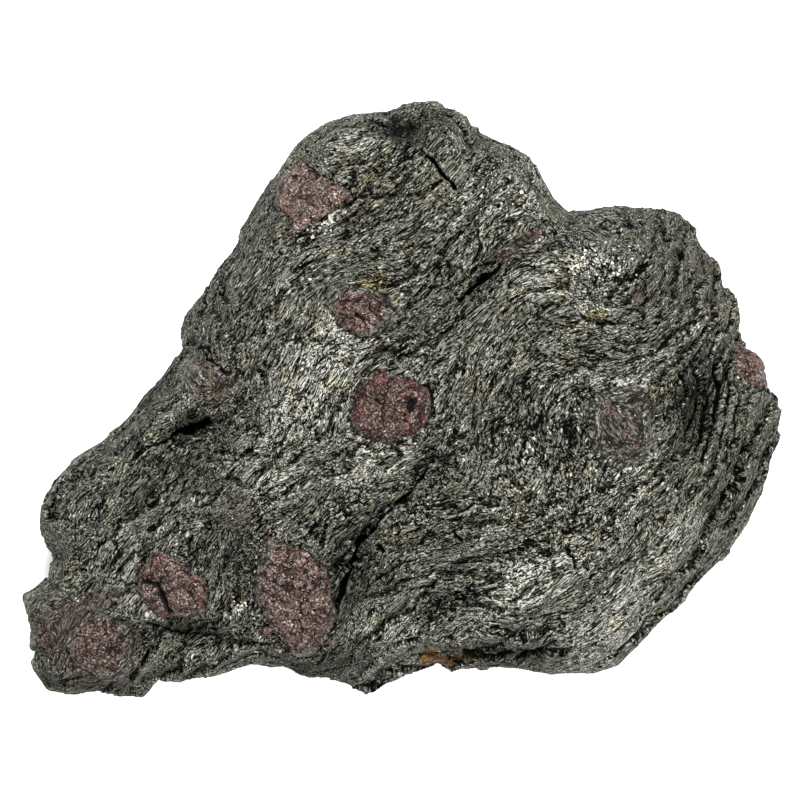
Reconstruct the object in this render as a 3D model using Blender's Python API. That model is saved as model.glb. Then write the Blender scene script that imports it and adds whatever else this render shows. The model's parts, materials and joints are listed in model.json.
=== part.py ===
"""A hand specimen of garnet in matrix, lying on its broad back face.

The matrix is one lump of mica and chlorite schist, 100 mm long. Its face is a height field over the lump's
outline: spot heights give the broad form, named ridges and hollows shape it, and a rounded edge brings it
down to the waist, the line round which the lump is widest. A second, flatter height field closes the
underside round a resting face. Each garnet is a crystal of its own, in a socket cut to its shape.

The tables are in millimetres: +X along the length, +Z up, with the origin on the table under the middle.
"""

import math

import bmesh
import bpy
import numpy as np
from mathutils import Euler, Vector, noise
from mathutils.geometry import delaunay_2d_cdt

MM = 0.001  # metres in one of the tables' units

# ---- driving dimensions ----
CLEARANCE = 0.35  # between a crystal and its socket
WALK = 2.1  # spacing of points along the outline
FACE_GRID = 2.2
UNDERSIDE_GRID = 4.0
FACE_RINGS = (0.5, 1.5, 3.0, 4.9)  # how far in from the outline the face's rings of points lie
UNDERSIDE_RINGS = (0.7, 2.2, 4.4)
FORM_REACH = 7.5  # how far one spot height is felt
EDGE_REACH = 8.0
ROUGHNESS = 0.55  # height of the broken relief on the face
ROUGH_SIZE = 7.0
WAIST_WANDER, WAIST_WANDER_SIZE = 1.6, 9.0  # how far the waist goes up and down, and over what length
EDGE_WANDER = 0.35  # how unevenly the edge is rounded, as a share of the distance in from it
BREAK_WANDER, BREAK_WANDER_SIZE = 0.7, 5.0  # unevenness of the flat breaks
RESTING_WALK = 12.0  # spacing of points round the resting face
UNDERSIDE_DIP = 1.8  # how far the underside rises off the table round its resting face
CUTTER_RISE = 9.0  # how far a socket's cutter stands above the crystal, to clear all the rock over it

# The lump seen from above, clockwise from its lower left corner.
OUTLINE = (
    (-46.7, -38.3), (-48.5, -35.1), (-47.9, -32.2), (-49.4, -28.3), (-50.0, -26.0), (-48.0, -24.7),
    (-46.5, -23.5), (-45.8, -20.5), (-47.7, -17.2), (-47.2, -14.0), (-45.3, -10.6), (-43.0, -7.9),
    (-39.1, -5.5), (-36.4, -2.8), (-34.0, 0.3), (-31.1, 3.1), (-28.5, 6.7), (-29.1, 8.8),
    (-28.1, 11.5), (-25.8, 14.1), (-23.9, 17.4), (-22.0, 19.5), (-20.6, 22.9), (-18.1, 27.2),
    (-15.0, 31.4), (-12.4, 34.6), (-9.6, 36.6), (-5.5, 37.6), (-2.0, 38.0), (1.7, 39.1),
    (4.9, 39.4), (6.4, 38.1), (9.0, 36.9), (10.4, 34.6), (14.4, 33.4), (17.2, 31.8),
    (18.8, 28.5), (20.2, 26.3), (22.3, 24.5), (27.2, 25.3), (32.0, 25.2), (37.0, 24.2),
    (38.7, 22.4), (39.4, 20.2), (41.8, 17.5), (42.3, 15.0), (44.0, 13.3), (44.6, 11.0),
    (44.6, 8.4), (45.8, 5.4), (47.2, 3.2), (48.9, 0.6), (50.0, -2.2), (49.7, -5.0),
    (48.7, -7.7), (47.5, -12.2), (45.6, -16.4), (42.8, -20.4), (39.5, -23.7), (35.3, -28.0),
    (31.4, -32.0), (28.4, -35.0), (25.3, -36.1), (20.0, -36.1), (14.9, -35.3), (11.4, -35.2),
    (6.2, -35.6), (5.2, -34.4), (2.0, -35.6), (-1.8, -37.3), (-4.4, -38.6), (-6.3, -37.6),
    (-9.2, -36.5), (-12.7, -36.4), (-15.2, -35.1), (-20.0, -34.9), (-24.0, -36.4), (-28.6, -37.0),
    (-31.4, -36.5), (-32.6, -37.9), (-33.9, -39.4), (-37.5, -39.1), (-40.2, -38.4), (-43.5, -38.9),
)

# The flat patch of the underside that bears on the table.
RESTING_FACE = (
    (-32, -26), (-20, -6), (-8, 20), (6, 26), (26, 12), (36, 2), (34, -12), (20, -24), (0, -26),
)

# Spot heights of the face before its edge is rounded: x, y, height.
SPOTS = (
    (-45, -34, 16.5), (-38, -34, 17.5), (-45, -27, 17.0), (-43, -19, 18.5), (-36, -12, 21.5), (-30, -4, 20.0),
    (-29, -25, 22.0), (-30, -33, 18.5), (-24, -14, 22.5), (-24, 8, 23.0), (-14, -25, 27.0), (-13, -10, 28.0),
    (-11, 4, 29.5), (-16, 18, 25.0), (-11, 28, 23.5), (2, 33, 23.5), (13, 29, 24.5), (2, 20, 27.5),
    (0, -2, 30.0), (14, 10, 29.0), (10, -10, 31.0), (20, -2, 31.5), (28, 16, 27.0), (31, 4, 30.5),
    (38, 13, 25.5), (36, -10, 29.0), (42, -3, 24.0), (27, -20, 29.5), (38, -20, 25.0), (21, -29, 27.0),
    (5, -25, 27.5), (0, -33, 22.0), (-18, -33, 22.0),
)

# Ridges (up) and hollows (down) of the face: x, y, half length, half width, turn in degrees, height.
FORMS = {
    "west_lobe": (-37.0, -9.0, 13.0, 4.5, 48, 2.6),
    "west_valley": (-29.0, -9.5, 11.0, 2.8, 46, -3.4),
    "west_hollow": (-27.0, -3.4, 3.0, 1.5, 20, -3.6),
    "notch_dip": (-26.0, 0.5, 3.5, 2.6, 60, -2.2),
    "centre_shoulder": (-11.5, 3.5, 9.5, 5.5, 48, 1.6),
    "brown_swell": (-21.0, -14.5, 6.0, 3.0, 72, 1.5),
    "big_crystal_swell": (-13.3, -25.0, 8.0, 5.5, 105, 1.4),
    "shear_trench": (-6.8, -23.5, 8.5, 1.9, 66, -4.2),
    "shear_trench_end": (-1.0, -14.0, 7.5, 1.5, 48, -2.2),
    "trench_bank": (0.5, -22.0, 7.0, 4.0, 62, 1.5),
    "shelf_under_west_crystal": (-27.5, -30.8, 6.5, 1.7, 4, -4.2),
    "corner_step": (-35.2, -34.5, 4.0, 1.3, 110, -2.8),
    "upper_gap": (9.6, 15.4, 3.6, 1.1, 38, -2.2),
    "upper_ridge": (14.5, 22.0, 9.0, 2.4, 38, 1.7),
    "top_hollow": (0.6, 35.6, 3.2, 1.7, 8, -3.0),
    "top_slit": (5.4, 29.6, 3.0, 0.8, -48, -1.6),
    "pale_strip": (18.0, 12.5, 8.0, 2.4, 38, 0.9),
    "middle_dish": (14.5, -0.5, 7.5, 4.5, 20, -1.4),
    "veiled_swell": (28.3, -3.0, 6.5, 4.4, 85, 1.9),
    "veiled_moat": (23.0, -3.5, 6.0, 1.6, 80, -1.1),
    "south_band": (17.5, -24.5, 8.0, 2.6, 33, 2.2),
    "south_shelf": (14.0, -32.7, 7.0, 1.4, 3, -6.0),
    "east_valley": (38.8, -1.0, 8.5, 2.4, 73, -4.6),
    "east_rib": (43.5, -7.5, 9.0, 1.8, 70, 1.8),
    "south_east_cheek": (37.0, -19.5, 8.0, 3.2, 58, 1.8),
    "saddle": (21.0, 19.5, 5.5, 2.6, -35, -1.4),
}

# How the edge is rounded at places round the outline: x, y, height of the waist, how far in the face starts
# to fall, how far in the underside starts to rise, and how full the curve is (1 is a chamfer, 2 an ellipse).
EDGES = (
    (-46, -37, 8.0, 4.5, 5.0, 2.3), (-49, -27, 7.0, 4.5, 5.0, 2.2), (-46, -15, 8.0, 8.0, 6.5, 1.8),
    (-36, -3, 8.5, 8.5, 7.5, 1.8), (-29, 8, 10.5, 6.0, 8.0, 2.0), (-22, 20, 10.0, 9.0, 8.0, 1.7),
    (-11, 35, 9.5, 7.5, 8.0, 1.9), (4, 39, 11.5, 5.5, 8.5, 2.3), (18, 30, 11.0, 6.0, 8.0, 2.1),
    (24, 25, 13.0, 5.5, 9.0, 2.0), (37, 24, 11.0, 7.0, 9.0, 2.0), (44, 13, 11.0, 8.0, 9.5, 1.7),
    (49, 0, 12.5, 12.0, 10.0, 1.35), (48, -11, 12.0, 13.0, 10.0, 1.3), (39, -24, 10.5, 9.0, 9.0, 1.6),
    (27, -36, 8.5, 6.5, 7.0, 2.1), (13, -35, 8.0, 4.0, 6.0, 2.3), (-2, -37, 9.0, 5.5, 6.0, 2.0),
    (-15, -35, 9.5, 5.0, 6.5, 2.2), (-27, -37, 8.0, 5.5, 6.0, 1.9), (-36, -39, 7.0, 4.0, 5.0, 2.3),
)

# Flat breaks across the lump's shoulders and across its underside. Each passes through x, y, height and slopes
# away towards a heading, in degrees anticlockwise from +X, by so much for each millimetre.
FACE_BREAKS = (
    (-23, 14, 24.5, 146, 1.4), (-14, 31, 22.0, 140, 1.5), (-44, -12, 17.5, 138, 1.4), (-34, -1, 18.0, 128, 1.6),
    (-47, -31, 15.5, 190, 1.2), (-41, -37, 16.0, 262, 1.8), (4, 36, 22.0, 84, 1.6), (16, 31, 22.0, 40, 1.6),
    (38, 21, 23.0, 62, 1.7), (43, 12, 21.5, 24, 1.5), (44, 1, 22.0, 12, 1.2), (44, -10, 21.5, -14, 1.3),
    (36, -25, 21.5, -44, 1.7), (24, -33, 21.0, -82, 2.4), (-9, -35, 19.5, -76, 2.4), (-25, -35, 17.0, -95, 2.0),
)
UNDERSIDE_BREAKS = (
    (-34, -12, 0, 142, -0.45), (-40, -30, 0, 225, -0.5), (-17, 18, 0, 150, -0.7), (0, 30, 0, 88, -0.6),
    (29, 16, 0, 45, -0.7), (40, -3, 0, 2, -0.7), (30, -24, 0, -48, -0.7), (4, -30, 0, -85, -0.8),
)
BREAK_WIDTH = 9.0  # how far each side of its point a break keeps to its plane
BREAK_RUN_OUT = 0.9  # how fast it runs out of the rock past that
RIM = (3.0, 5.0, 0.35)  # the edge's least height from the waist: at most this, this steep, then this slope

# ---- crystals set in the face ----
# Each outline is round the crystal's own middle. proud: how far its top stands above the face.
FACE_CRYSTALS = {
    "garnet_top_left": dict(
        at=(-11.6, 26.3), proud=1.1, depth=7.0,
        outline=((-1.6, 4.7), (0.5, 3.4), (2.8, 2.0), (4.9, 0.3), (3.0, -1.5), (0.7, -2.9),
                 (-2.0, -4.7), (-2.6, -2.6), (-4.2, -0.7), (-3.9, 1.5), (-3.0, 3.2)),
    ),
    "garnet_upper_middle": dict(
        at=(-5.0, 11.3), proud=0.7, depth=7.0,
        outline=((-4.2, 2.8), (-2.5, 3.4), (2.0, 2.5), (3.5, 1.9), (3.8, 0.2), (3.3, -1.6),
                 (2.2, -2.8), (0.5, -3.3), (-2.5, -1.8), (-4.0, 0.9)),
    ),
    "garnet_centre": dict(
        at=(-1.2, -1.1), proud=1.2, depth=8.0,
        outline=((-1.7, 4.9), (0.5, 4.1), (4.6, 2.3), (5.1, 0.5), (4.8, -1.4), (2.8, -3.4),
                 (0.5, -4.3), (-2.1, -3.8), (-4.5, -2.7), (-5.1, -1.4), (-4.3, 1.5), (-2.7, 4.1)),
    ),
    "garnet_lower_middle": dict(
        at=(-13.3, -25.0), proud=1.3, depth=11.0,
        outline=((-3.7, 7.1), (-0.8, 6.2), (2.2, 5.1), (3.6, 3.2), (4.2, -0.8), (4.9, -2.9),
                 (3.6, -6.1), (1.5, -7.9), (-0.3, -7.6), (-2.8, -4.8), (-4.6, -1.2), (-5.3, 0.7),
                 (-4.7, 4.0)),
    ),
    "garnet_satellite": dict(
        at=(-17.2, -29.9), proud=0.4, depth=1.8,
        outline=((-0.7, 0.3), (0.1, 0.7), (0.7, 0.2), (0.4, -0.5), (-0.5, -0.5)),
    ),
    "garnet_lower_left": dict(
        at=(-29.5, -24.0), proud=1.3, depth=8.0,
        outline=((-2.6, 4.1), (-0.6, 4.0), (1.4, 2.2), (3.8, 0.6), (4.5, -0.9), (4.2, -3.2),
                 (1.6, -3.9), (-1.5, -3.8), (-3.6, -2.6), (-4.5, -0.9), (-3.9, 2.0)),
    ),
    "garnet_corner": dict(
        at=(-39.0, -31.7), proud=1.0, depth=8.0,
        outline=((-0.9, 3.9), (1.4, 3.6), (3.4, 2.3), (4.1, 0.7), (3.6, -1.4), (3.7, -3.2),
                 (2.6, -4.6), (0.4, -4.7), (-1.4, -3.6), (-3.3, -2.6), (-4.3, -0.2), (-3.6, 1.4),
                 (-2.6, 2.2)),
    ),
    "garnet_veiled": dict(
        at=(28.2, -3.2), proud=0.3, depth=8.0,
        outline=((-3.7, 2.7), (-1.3, 4.8), (1.9, 5.0), (4.0, 2.4), (4.2, -1.4), (2.8, -4.4),
                 (0.0, -5.6), (-2.7, -4.5), (-3.9, -1.4)),
    ),
    "garnet_ridge": dict(
        at=(16.9, 21.1), proud=0.3, depth=2.4,
        outline=((-1.9, -0.7), (-1.2, -0.1), (0.2, 0.7), (1.5, 1.4), (1.9, 1.0), (0.6, -0.3),
                 (-0.8, -0.9), (-1.9, -1.3)),
    ),
}
# A crystal's rings from its top down: size against the outline, then height as a share of the crystal's
# stand above the face (up) or of its depth in the rock (down).
CRYSTAL_RINGS = ((0.42, 1.0, 0.0), (0.78, 0.82, 0.0), (0.98, 0.2, 0.0), (1.0, 0.0, 0.1), (0.9, 0.0, 0.4),
                 (0.64, 0.0, 0.75), (0.28, 0.0, 0.97))

# ---- crystals in the lump's flanks, as turned rhombic dodecahedra: centre, radii, turn in degrees ----
FLANK_CRYSTALS = {
    "garnet_corner_west": dict(at=(-45.7, -30.6, 11.6), radii=(3.1, 3.2, 4.2), turn=(20, 10, 35)),
    "garnet_left_chip": dict(at=(-47.4, -34.6, 9.2), radii=(1.0, 1.2, 1.3), turn=(0, 20, 15)),
    "garnet_left_notch": dict(at=(-25.4, 2.4, 17.4), radii=(3.0, 3.8, 3.6), turn=(15, 30, 10)),
    "garnet_right_edge": dict(at=(44.7, 3.1, 13.8), radii=(3.2, 4.0, 4.4), turn=(10, 25, 20)),
    "garnet_back_a": dict(at=(24.5, 21.6, 8.6), radii=(4.2, 3.6, 3.9), turn=(25, 10, 40)),
    "garnet_back_b": dict(at=(10.5, -32.0, 6.4), radii=(3.9, 3.6, 3.2), turn=(5, 35, 15)),
}

SCHIST = (0.085, 0.088, 0.074)
GARNET_RED = (0.25, 0.075, 0.07)
GARNET_BROWN = (0.14, 0.06, 0.055)
BROWN_CRYSTALS = ("garnet_corner_west", "garnet_left_notch", "garnet_veiled", "garnet_upper_middle")


def clear_scene():
    for obj in list(bpy.data.objects):
        bpy.data.objects.remove(obj)


def stone_material(name, colour, roughness):
    material = bpy.data.materials.new(name)
    material.use_nodes = True
    shader = material.node_tree.nodes["Principled BSDF"]
    shader.inputs["Base Color"].default_value = (*colour, 1)
    shader.inputs["Roughness"].default_value = roughness
    shader.inputs["Metallic"].default_value = 0
    return material


# ---- plan: distances and points inside the outline ----
def walked(outline, step):
    """The outline with each side split into lengths no longer than step."""
    points = []
    for start, end in zip(outline, outline[1:] + outline[:1]):
        parts = max(1, math.ceil(math.dist(start, end) / step))
        for k in range(parts):
            points.append([start[i] + (end[i] - start[i]) * k / parts for i in range(2)])
    return np.array(points)


def edge_distance(points, ring):
    """How far each point is from the closed line through ring."""
    start, along = ring, np.roll(ring, -1, axis=0) - ring
    offset = points[:, None, :] - start[None, :, :]
    share = (offset * along).sum(axis=2) / (along * along).sum(axis=1)
    gap = offset - np.clip(share, 0, 1)[:, :, None] * along
    return np.sqrt((gap * gap).sum(axis=2)).min(axis=1)


def is_inside(points, ring):
    """Whether each point is inside the closed line, by the crossings of a ray towards +X."""
    x, y = points[:, 0:1], points[:, 1:2]
    x0, y0 = ring[:, 0], ring[:, 1]
    x1, y1 = np.roll(x0, -1), np.roll(y0, -1)
    spans = (y0 > y) != (y1 > y)
    rise = np.where(y1 == y0, 1, y1 - y0)
    crosses = spans & (x < x0 + (y - y0) / rise * (x1 - x0))
    return crosses.sum(axis=1) % 2 == 1


def inward_ring(ring, inset):
    """Points that lie inset in from the outline, one for each of its points where there is room."""
    along = np.roll(ring, -1, axis=0) - np.roll(ring, 1, axis=0)
    along /= np.linalg.norm(along, axis=1)[:, None]
    moved = ring + inset * np.stack([along[:, 1], -along[:, 0]], axis=1)
    roomy = is_inside(moved, ring) & (edge_distance(moved, ring) > 0.85 * inset)
    return moved[roomy]


def hex_grid(ring, step, inset):
    """A grid of points in rows of triangles, at least inset in from the outline."""
    row = step * math.sqrt(3) / 2
    low, high = ring.min(axis=0), ring.max(axis=0)
    points = np.array([
        (x + step / 2 * (j % 2), y)
        for j, y in enumerate(np.arange(low[1], high[1], row))
        for x in np.arange(low[0], high[0], step)
    ])
    points = points[is_inside(points, ring)]
    return points[edge_distance(points, ring) > inset]


def thinned(kept, more, apart):
    """kept, then each point of more that stays at least apart from all of those before it."""
    points = [tuple(p) for p in kept]
    for p in more:
        if min((q[0] - p[0]) ** 2 + (q[1] - p[1]) ** 2 for q in points) > apart * apart:
            points.append(tuple(p))
    return np.array(points)


def plan_points(ring, insets, step):
    """Outline points first, then the rings inside them, then the grid."""
    points = np.concatenate([ring, inward_ring(ring, insets[0])])
    for outer, inset in zip(insets, insets[1:]):
        points = thinned(points, inward_ring(ring, inset), 0.75 * min(WALK, inset - outer + 0.4))
    return thinned(points, hex_grid(ring, step, insets[-1]), 0.72 * step)


# ---- heights ----
def spot_blend(points, spots, reach):
    """The mean of the spots' values at each point, with near spots counting most."""
    spots = np.array(spots, float)
    gap = ((points[:, None, :] - spots[None, :, :2]) ** 2).sum(axis=2)
    gap -= gap.min(axis=1)[:, None]
    weight = np.exp(-gap / (2 * reach * reach))
    return (weight @ spots[:, 2:]) / weight.sum(axis=1)[:, None]


def rough(points, size, layer):
    """Smooth noise from about -1 to 1. layer picks one of many unlike patterns."""
    return np.array([noise.noise(Vector((x / size, y / size, 7.3 * layer))) for x, y in points])


def forms(points):
    total = np.zeros(len(points))
    for x, y, length, width, turn, height in FORMS.values():
        offset = points - (x, y)
        c, s = math.cos(math.radians(turn)), math.sin(math.radians(turn))
        along = (offset @ (c, s)) / length
        across = (offset @ (-s, c)) / width
        total += height * np.exp(-(along ** 2 + across ** 2))
    return total


def fullness(inset, reach, power):
    """0 on the outline, rising to 1 at reach in from it."""
    short = 1 - np.clip(inset / reach, 0, 1)
    return (1 - short ** power) ** (1 / power)


def breaks(points, planes):
    """How high each break stands at each point, measured away from the middle of the lump's thickness."""
    wander = BREAK_WANDER * rough(points, BREAK_WANDER_SIZE, 8)
    heights = []
    for x, y, height, heading, slope in planes:
        c, s = math.cos(math.radians(heading)), math.sin(math.radians(heading))
        downhill, aside = (points - (x, y)) @ (c, s), (points - (x, y)) @ (-s, c)
        run_out = BREAK_RUN_OUT * np.maximum(abs(aside) - BREAK_WIDTH, 0) * math.copysign(1, slope)
        heights.append(height - slope * downhill + wander + run_out)
    return np.stack(heights, axis=1)


def rim(inset):
    """The least height of the edge from the waist, so that no break leaves it sharp."""
    blunt, steep, slope = RIM
    return np.minimum(blunt, steep * inset) + slope * inset


def face_height(points, ring):
    """Height of the face at each point, down to the waist on the outline."""
    waist, fall, _, power = spot_blend(points, EDGES, EDGE_REACH).T
    inset = edge_distance(points, ring)
    top = spot_blend(points, SPOTS, FORM_REACH)[:, 0] + forms(points)
    top += ROUGHNESS * (rough(points, ROUGH_SIZE, 1) + 0.6 * rough(points, ROUGH_SIZE / 2, 2))
    waist = waist + WAIST_WANDER * rough(points, WAIST_WANDER_SIZE, 3)
    bent = inset * (1 + EDGE_WANDER * rough(points, 6.0, 4))
    height = waist + (top - waist) * fullness(bent, fall, power)
    broken = np.minimum(height, breaks(points, FACE_BREAKS).min(axis=1))
    return np.maximum(broken, waist + rim(inset))


def underside_height(points, ring):
    """Height of the underside: the waist on the outline, then a shallow bowl round the resting face."""
    waist, _, rise, power = spot_blend(points, EDGES, EDGE_REACH).T
    waist = waist + WAIST_WANDER * rough(points, WAIST_WANDER_SIZE, 3)
    inset = edge_distance(points, ring)
    resting = np.array(RESTING_FACE, float)
    clear = np.where(is_inside(points, resting), 0, edge_distance(points, resting))
    dip = UNDERSIDE_DIP * (0.5 + 0.5 * rough(points, 8.0, 6)) * np.clip(clear / 5, 0, 1)
    low = np.maximum(dip, 0)
    bent = inset * (1 + EDGE_WANDER * rough(points, 7.0, 5))
    height = low + (waist - low) * (1 - fullness(bent, rise, power))
    broken = np.maximum(height, breaks(points, UNDERSIDE_BREAKS).max(axis=1))
    return np.where(clear < 1e-6, 0, np.minimum(broken, waist - rim(inset)))


# ---- meshes ----
def mesh_object(name, points_mm, faces, material):
    mesh = bpy.data.meshes.new(name)
    mesh.from_pydata([tuple(c * MM for c in p) for p in points_mm], [], faces)
    mesh.materials.append(material)
    obj = bpy.data.objects.new(name, mesh)
    bpy.context.scene.collection.objects.link(obj)
    return obj


def triangles_inside(points, ring_length, inner=()):
    """Triangles over the plan's points that keep to the outline, and to the inner loop if one is given."""
    loops = [(k, (k + 1) % ring_length) for k in range(ring_length)]
    first = len(points) - len(inner)
    loops += [(first + k, first + (k + 1) % len(inner)) for k in range(len(inner))]
    flat = [Vector((float(x), float(y))) for x, y in points]
    found, _, faces, origin, _, _ = delaunay_2d_cdt(flat, loops, [], 1, 1e-6)
    if len(found) != len(points):
        raise ValueError("two points of the plan fall together")
    return [tuple(origin[v][0] for v in face) for face in faces]


def matrix_solid(ring, material):
    """Face and underside over the same outline, joined along the waist."""
    count = len(ring)
    upper = plan_points(ring, FACE_RINGS, FACE_GRID)
    face = triangles_inside(upper, count)
    resting = walked(RESTING_FACE, RESTING_WALK)
    lower = plan_points(ring, UNDERSIDE_RINGS, UNDERSIDE_GRID)
    beyond = ~is_inside(lower, resting) & (edge_distance(lower, resting) > 1.5)
    beyond[:count] = True
    lower = np.concatenate([lower[beyond], resting])
    back = triangles_inside(lower, count, resting)

    top = np.column_stack([upper, face_height(upper, ring)])
    bottom = np.column_stack([lower, underside_height(lower, ring)])
    bottom[-len(resting):, 2] = 0
    shift = len(top) - count
    points = np.concatenate([top, bottom[count:]])
    underside = [tuple(v if v < count else v + shift for v in reversed(f)) for f in back]
    return mesh_object("matrix", points, face + underside, material)


def lofted(rings, top, bottom):
    """Points and faces of a closed body: the rings from the top down, with a point at each end."""
    count = len(rings[0])
    points = [top] + [p for ring in rings for p in ring] + [bottom]
    last = len(points) - 1
    faces = []
    for k in range(count):
        n = (k + 1) % count
        faces.append((0, 1 + k, 1 + n))
        for r in range(len(rings) - 1):
            a, b = 1 + r * count, 1 + (r + 1) * count
            faces.append((a + n, a + k, b + k, b + n))
        faces.append((last, last - count + n, last - count + k))
    return points, faces


def face_plane(middle, outline, ring):
    """Height and slope of the face under a crystal's outline, as (height, rise along X, rise along Y)."""
    around = np.array(outline) + middle
    heights = face_height(around, ring)
    table = np.column_stack([np.ones(len(around)), np.array(outline)])
    return np.linalg.lstsq(table, heights, rcond=None)[0]


def crystal_in_face(name, spec, ring, material, grow=0.0, rise=0.0):
    """A crystal whose widest ring follows the face. grow makes it larger all round, and rise makes it taller."""
    middle = np.array(spec["at"])
    outline = np.array(spec["outline"])[::-1]  # anticlockwise from above
    height, slope_x, slope_y = face_plane(middle, spec["outline"], ring)
    away = outline / np.linalg.norm(outline, axis=1)[:, None]

    def level(offset, lift):
        return height + offset[:, 0] * slope_x + offset[:, 1] * slope_y + lift

    rings = []
    for k, (size, up, down) in enumerate(CRYSTAL_RINGS):
        offset = outline * (1 if rise and up else size) + away * grow
        lift = up * spec["proud"] - down * (spec["depth"] + grow)
        if rise and up:
            lift = rise * (0.4 + 0.2 * (len(CRYSTAL_RINGS) - k) / len(CRYSTAL_RINGS))
        facet = 0.12 * spec["proud"] * np.array([noise.noise(Vector((3.1 * a, 2.3 * b, k))) for a, b in offset])
        rings.append(np.column_stack([offset + middle, level(offset, lift) + (0 if rise else facet)]))
    top = (*middle, height + (rise if rise else 1.1 * spec["proud"]))
    bottom = (*middle, height - spec["depth"] - grow)
    points, faces = lofted([[tuple(p) for p in r] for r in rings], top, bottom)
    return mesh_object(name, points, faces, material)


def rhombic_dodecahedron():
    """Unit crystal: twelve rhombic faces over the corners of a cube and the tips above its sides."""
    corners = [Vector((x, y, z)) / 2 for x in (-1, 1) for y in (-1, 1) for z in (-1, 1)]
    tips = [Vector(t) for t in ((1, 0, 0), (-1, 0, 0), (0, 1, 0), (0, -1, 0), (0, 0, 1), (0, 0, -1))]
    return corners + tips


def crystal_in_flank(name, spec, material, grow=0.0):
    """A turned rhombic dodecahedron with its edges a little worn."""
    build = bmesh.new()
    turn = Euler([math.radians(a) for a in spec["turn"]])
    for corner in rhombic_dodecahedron():
        place = corner.copy()
        place.rotate(turn)
        place = Vector([c * (r + grow) * 1.12 for c, r in zip(place, spec["radii"])])
        build.verts.new((place + Vector(spec["at"])) * MM)
    bmesh.ops.convex_hull(build, input=build.verts)
    bmesh.ops.dissolve_limit(build, angle_limit=math.radians(2), verts=build.verts, edges=build.edges)
    worn = 0.1 * min(spec["radii"]) * MM
    bmesh.ops.bevel(build, geom=build.edges, offset=worn, segments=1, affect="EDGES")
    bmesh.ops.triangulate(build, faces=build.faces)
    bmesh.ops.recalc_face_normals(build, faces=build.faces)
    mesh = bpy.data.meshes.new(name)
    build.to_mesh(mesh)
    build.free()
    mesh.materials.append(material)
    obj = bpy.data.objects.new(name, mesh)
    bpy.context.scene.collection.objects.link(obj)
    return obj


def cut_socket(rock, cutter):
    cutter.hide_render = True
    cutter.display_type = "WIRE"
    boolean = rock.modifiers.new(cutter.name, "BOOLEAN")
    boolean.operation = "DIFFERENCE"
    boolean.solver = "EXACT"
    boolean.object = cutter


def main():
    clear_scene()
    ring = walked(OUTLINE, WALK)
    rock = matrix_solid(ring, stone_material("schist", SCHIST, 0.6))
    for name, spec in FACE_CRYSTALS.items():
        colour = GARNET_BROWN if name in BROWN_CRYSTALS else GARNET_RED
        crystal_in_face(name, spec, ring, stone_material(name, colour, 0.5))
        socket = crystal_in_face(f"{name}_socket", spec, ring, rock.active_material, CLEARANCE, CUTTER_RISE)
        cut_socket(rock, socket)
    for name, spec in FLANK_CRYSTALS.items():
        colour = GARNET_BROWN if name in BROWN_CRYSTALS else GARNET_RED
        crystal_in_flank(name, spec, stone_material(name, colour, 0.5))
        cut_socket(rock, crystal_in_flank(f"{name}_socket", spec, rock.active_material, CLEARANCE))


main()
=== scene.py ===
# %% [markdown]
# # Garnet in matrix: a hand specimen
#
# The real thing is a lump of schist, a rock made of thin wavy layers of dark mica and chlorite, with garnet
# crystals that grew inside it and pushed the layers apart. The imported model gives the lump, its sockets and
# its crystals at their true size. These cells give each of them its broken surface and its finish.
#
# Lengths in the tables are in millimetres. Blender's own unit here is the metre.

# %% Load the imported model
import json
import math

import bmesh
import bpy
import numpy as np
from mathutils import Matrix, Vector, noise
from mathutils.bvhtree import BVHTree


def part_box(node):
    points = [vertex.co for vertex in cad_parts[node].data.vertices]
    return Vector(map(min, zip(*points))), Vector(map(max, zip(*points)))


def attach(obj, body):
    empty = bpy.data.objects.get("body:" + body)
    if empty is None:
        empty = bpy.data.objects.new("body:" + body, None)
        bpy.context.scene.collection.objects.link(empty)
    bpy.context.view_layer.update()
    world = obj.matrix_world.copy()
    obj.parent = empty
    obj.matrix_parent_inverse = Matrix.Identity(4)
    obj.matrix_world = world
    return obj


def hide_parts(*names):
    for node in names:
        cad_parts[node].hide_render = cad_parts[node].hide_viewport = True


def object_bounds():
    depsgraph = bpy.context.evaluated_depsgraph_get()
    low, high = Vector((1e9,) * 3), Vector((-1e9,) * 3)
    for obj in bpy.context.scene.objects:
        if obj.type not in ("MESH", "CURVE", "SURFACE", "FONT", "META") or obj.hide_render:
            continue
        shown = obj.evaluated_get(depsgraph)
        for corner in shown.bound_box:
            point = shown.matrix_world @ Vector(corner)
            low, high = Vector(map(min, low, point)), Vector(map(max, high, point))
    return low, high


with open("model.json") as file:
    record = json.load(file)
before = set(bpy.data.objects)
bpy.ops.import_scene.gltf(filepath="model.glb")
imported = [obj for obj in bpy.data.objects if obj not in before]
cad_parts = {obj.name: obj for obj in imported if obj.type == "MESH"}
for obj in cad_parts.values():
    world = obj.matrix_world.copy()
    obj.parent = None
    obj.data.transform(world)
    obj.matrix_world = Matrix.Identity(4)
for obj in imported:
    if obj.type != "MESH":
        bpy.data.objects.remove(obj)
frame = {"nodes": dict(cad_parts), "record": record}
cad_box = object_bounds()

MM = 0.001
print("nodes in the frame:", sorted(frame["nodes"]))

# %% [markdown]
# ## The view
#
# The specimen lies on its back and is looked at from straight above through a long lens, which hardly changes
# the shape. A long lens still shows high places a little further from the middle than low ones, so a helper
# says where a point of the rock is seen. Later tables give places as seen.

# %% Camera over the specimen
WAIST = 12 * MM  # height at which the view is VIEW_WIDTH wide
VIEW_WIDTH = 105.28 * MM
LENS, SENSOR = 200.0, 36.0


def linked(name, data):
    """A new object at the origin, in the scene."""
    obj = bpy.data.objects.new(name, data)
    bpy.context.scene.collection.objects.link(obj)
    return obj


distance = VIEW_WIDTH * LENS / SENSOR
camera_data = bpy.data.cameras.new("camera_over_the_face")
camera_data.lens = LENS
camera_data.sensor_width = SENSOR
camera_data.clip_start = 50 * MM
camera = linked("camera_over_the_face", camera_data)
camera.location = (0, 0, WAIST + distance)
bpy.context.scene.camera = camera


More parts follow.
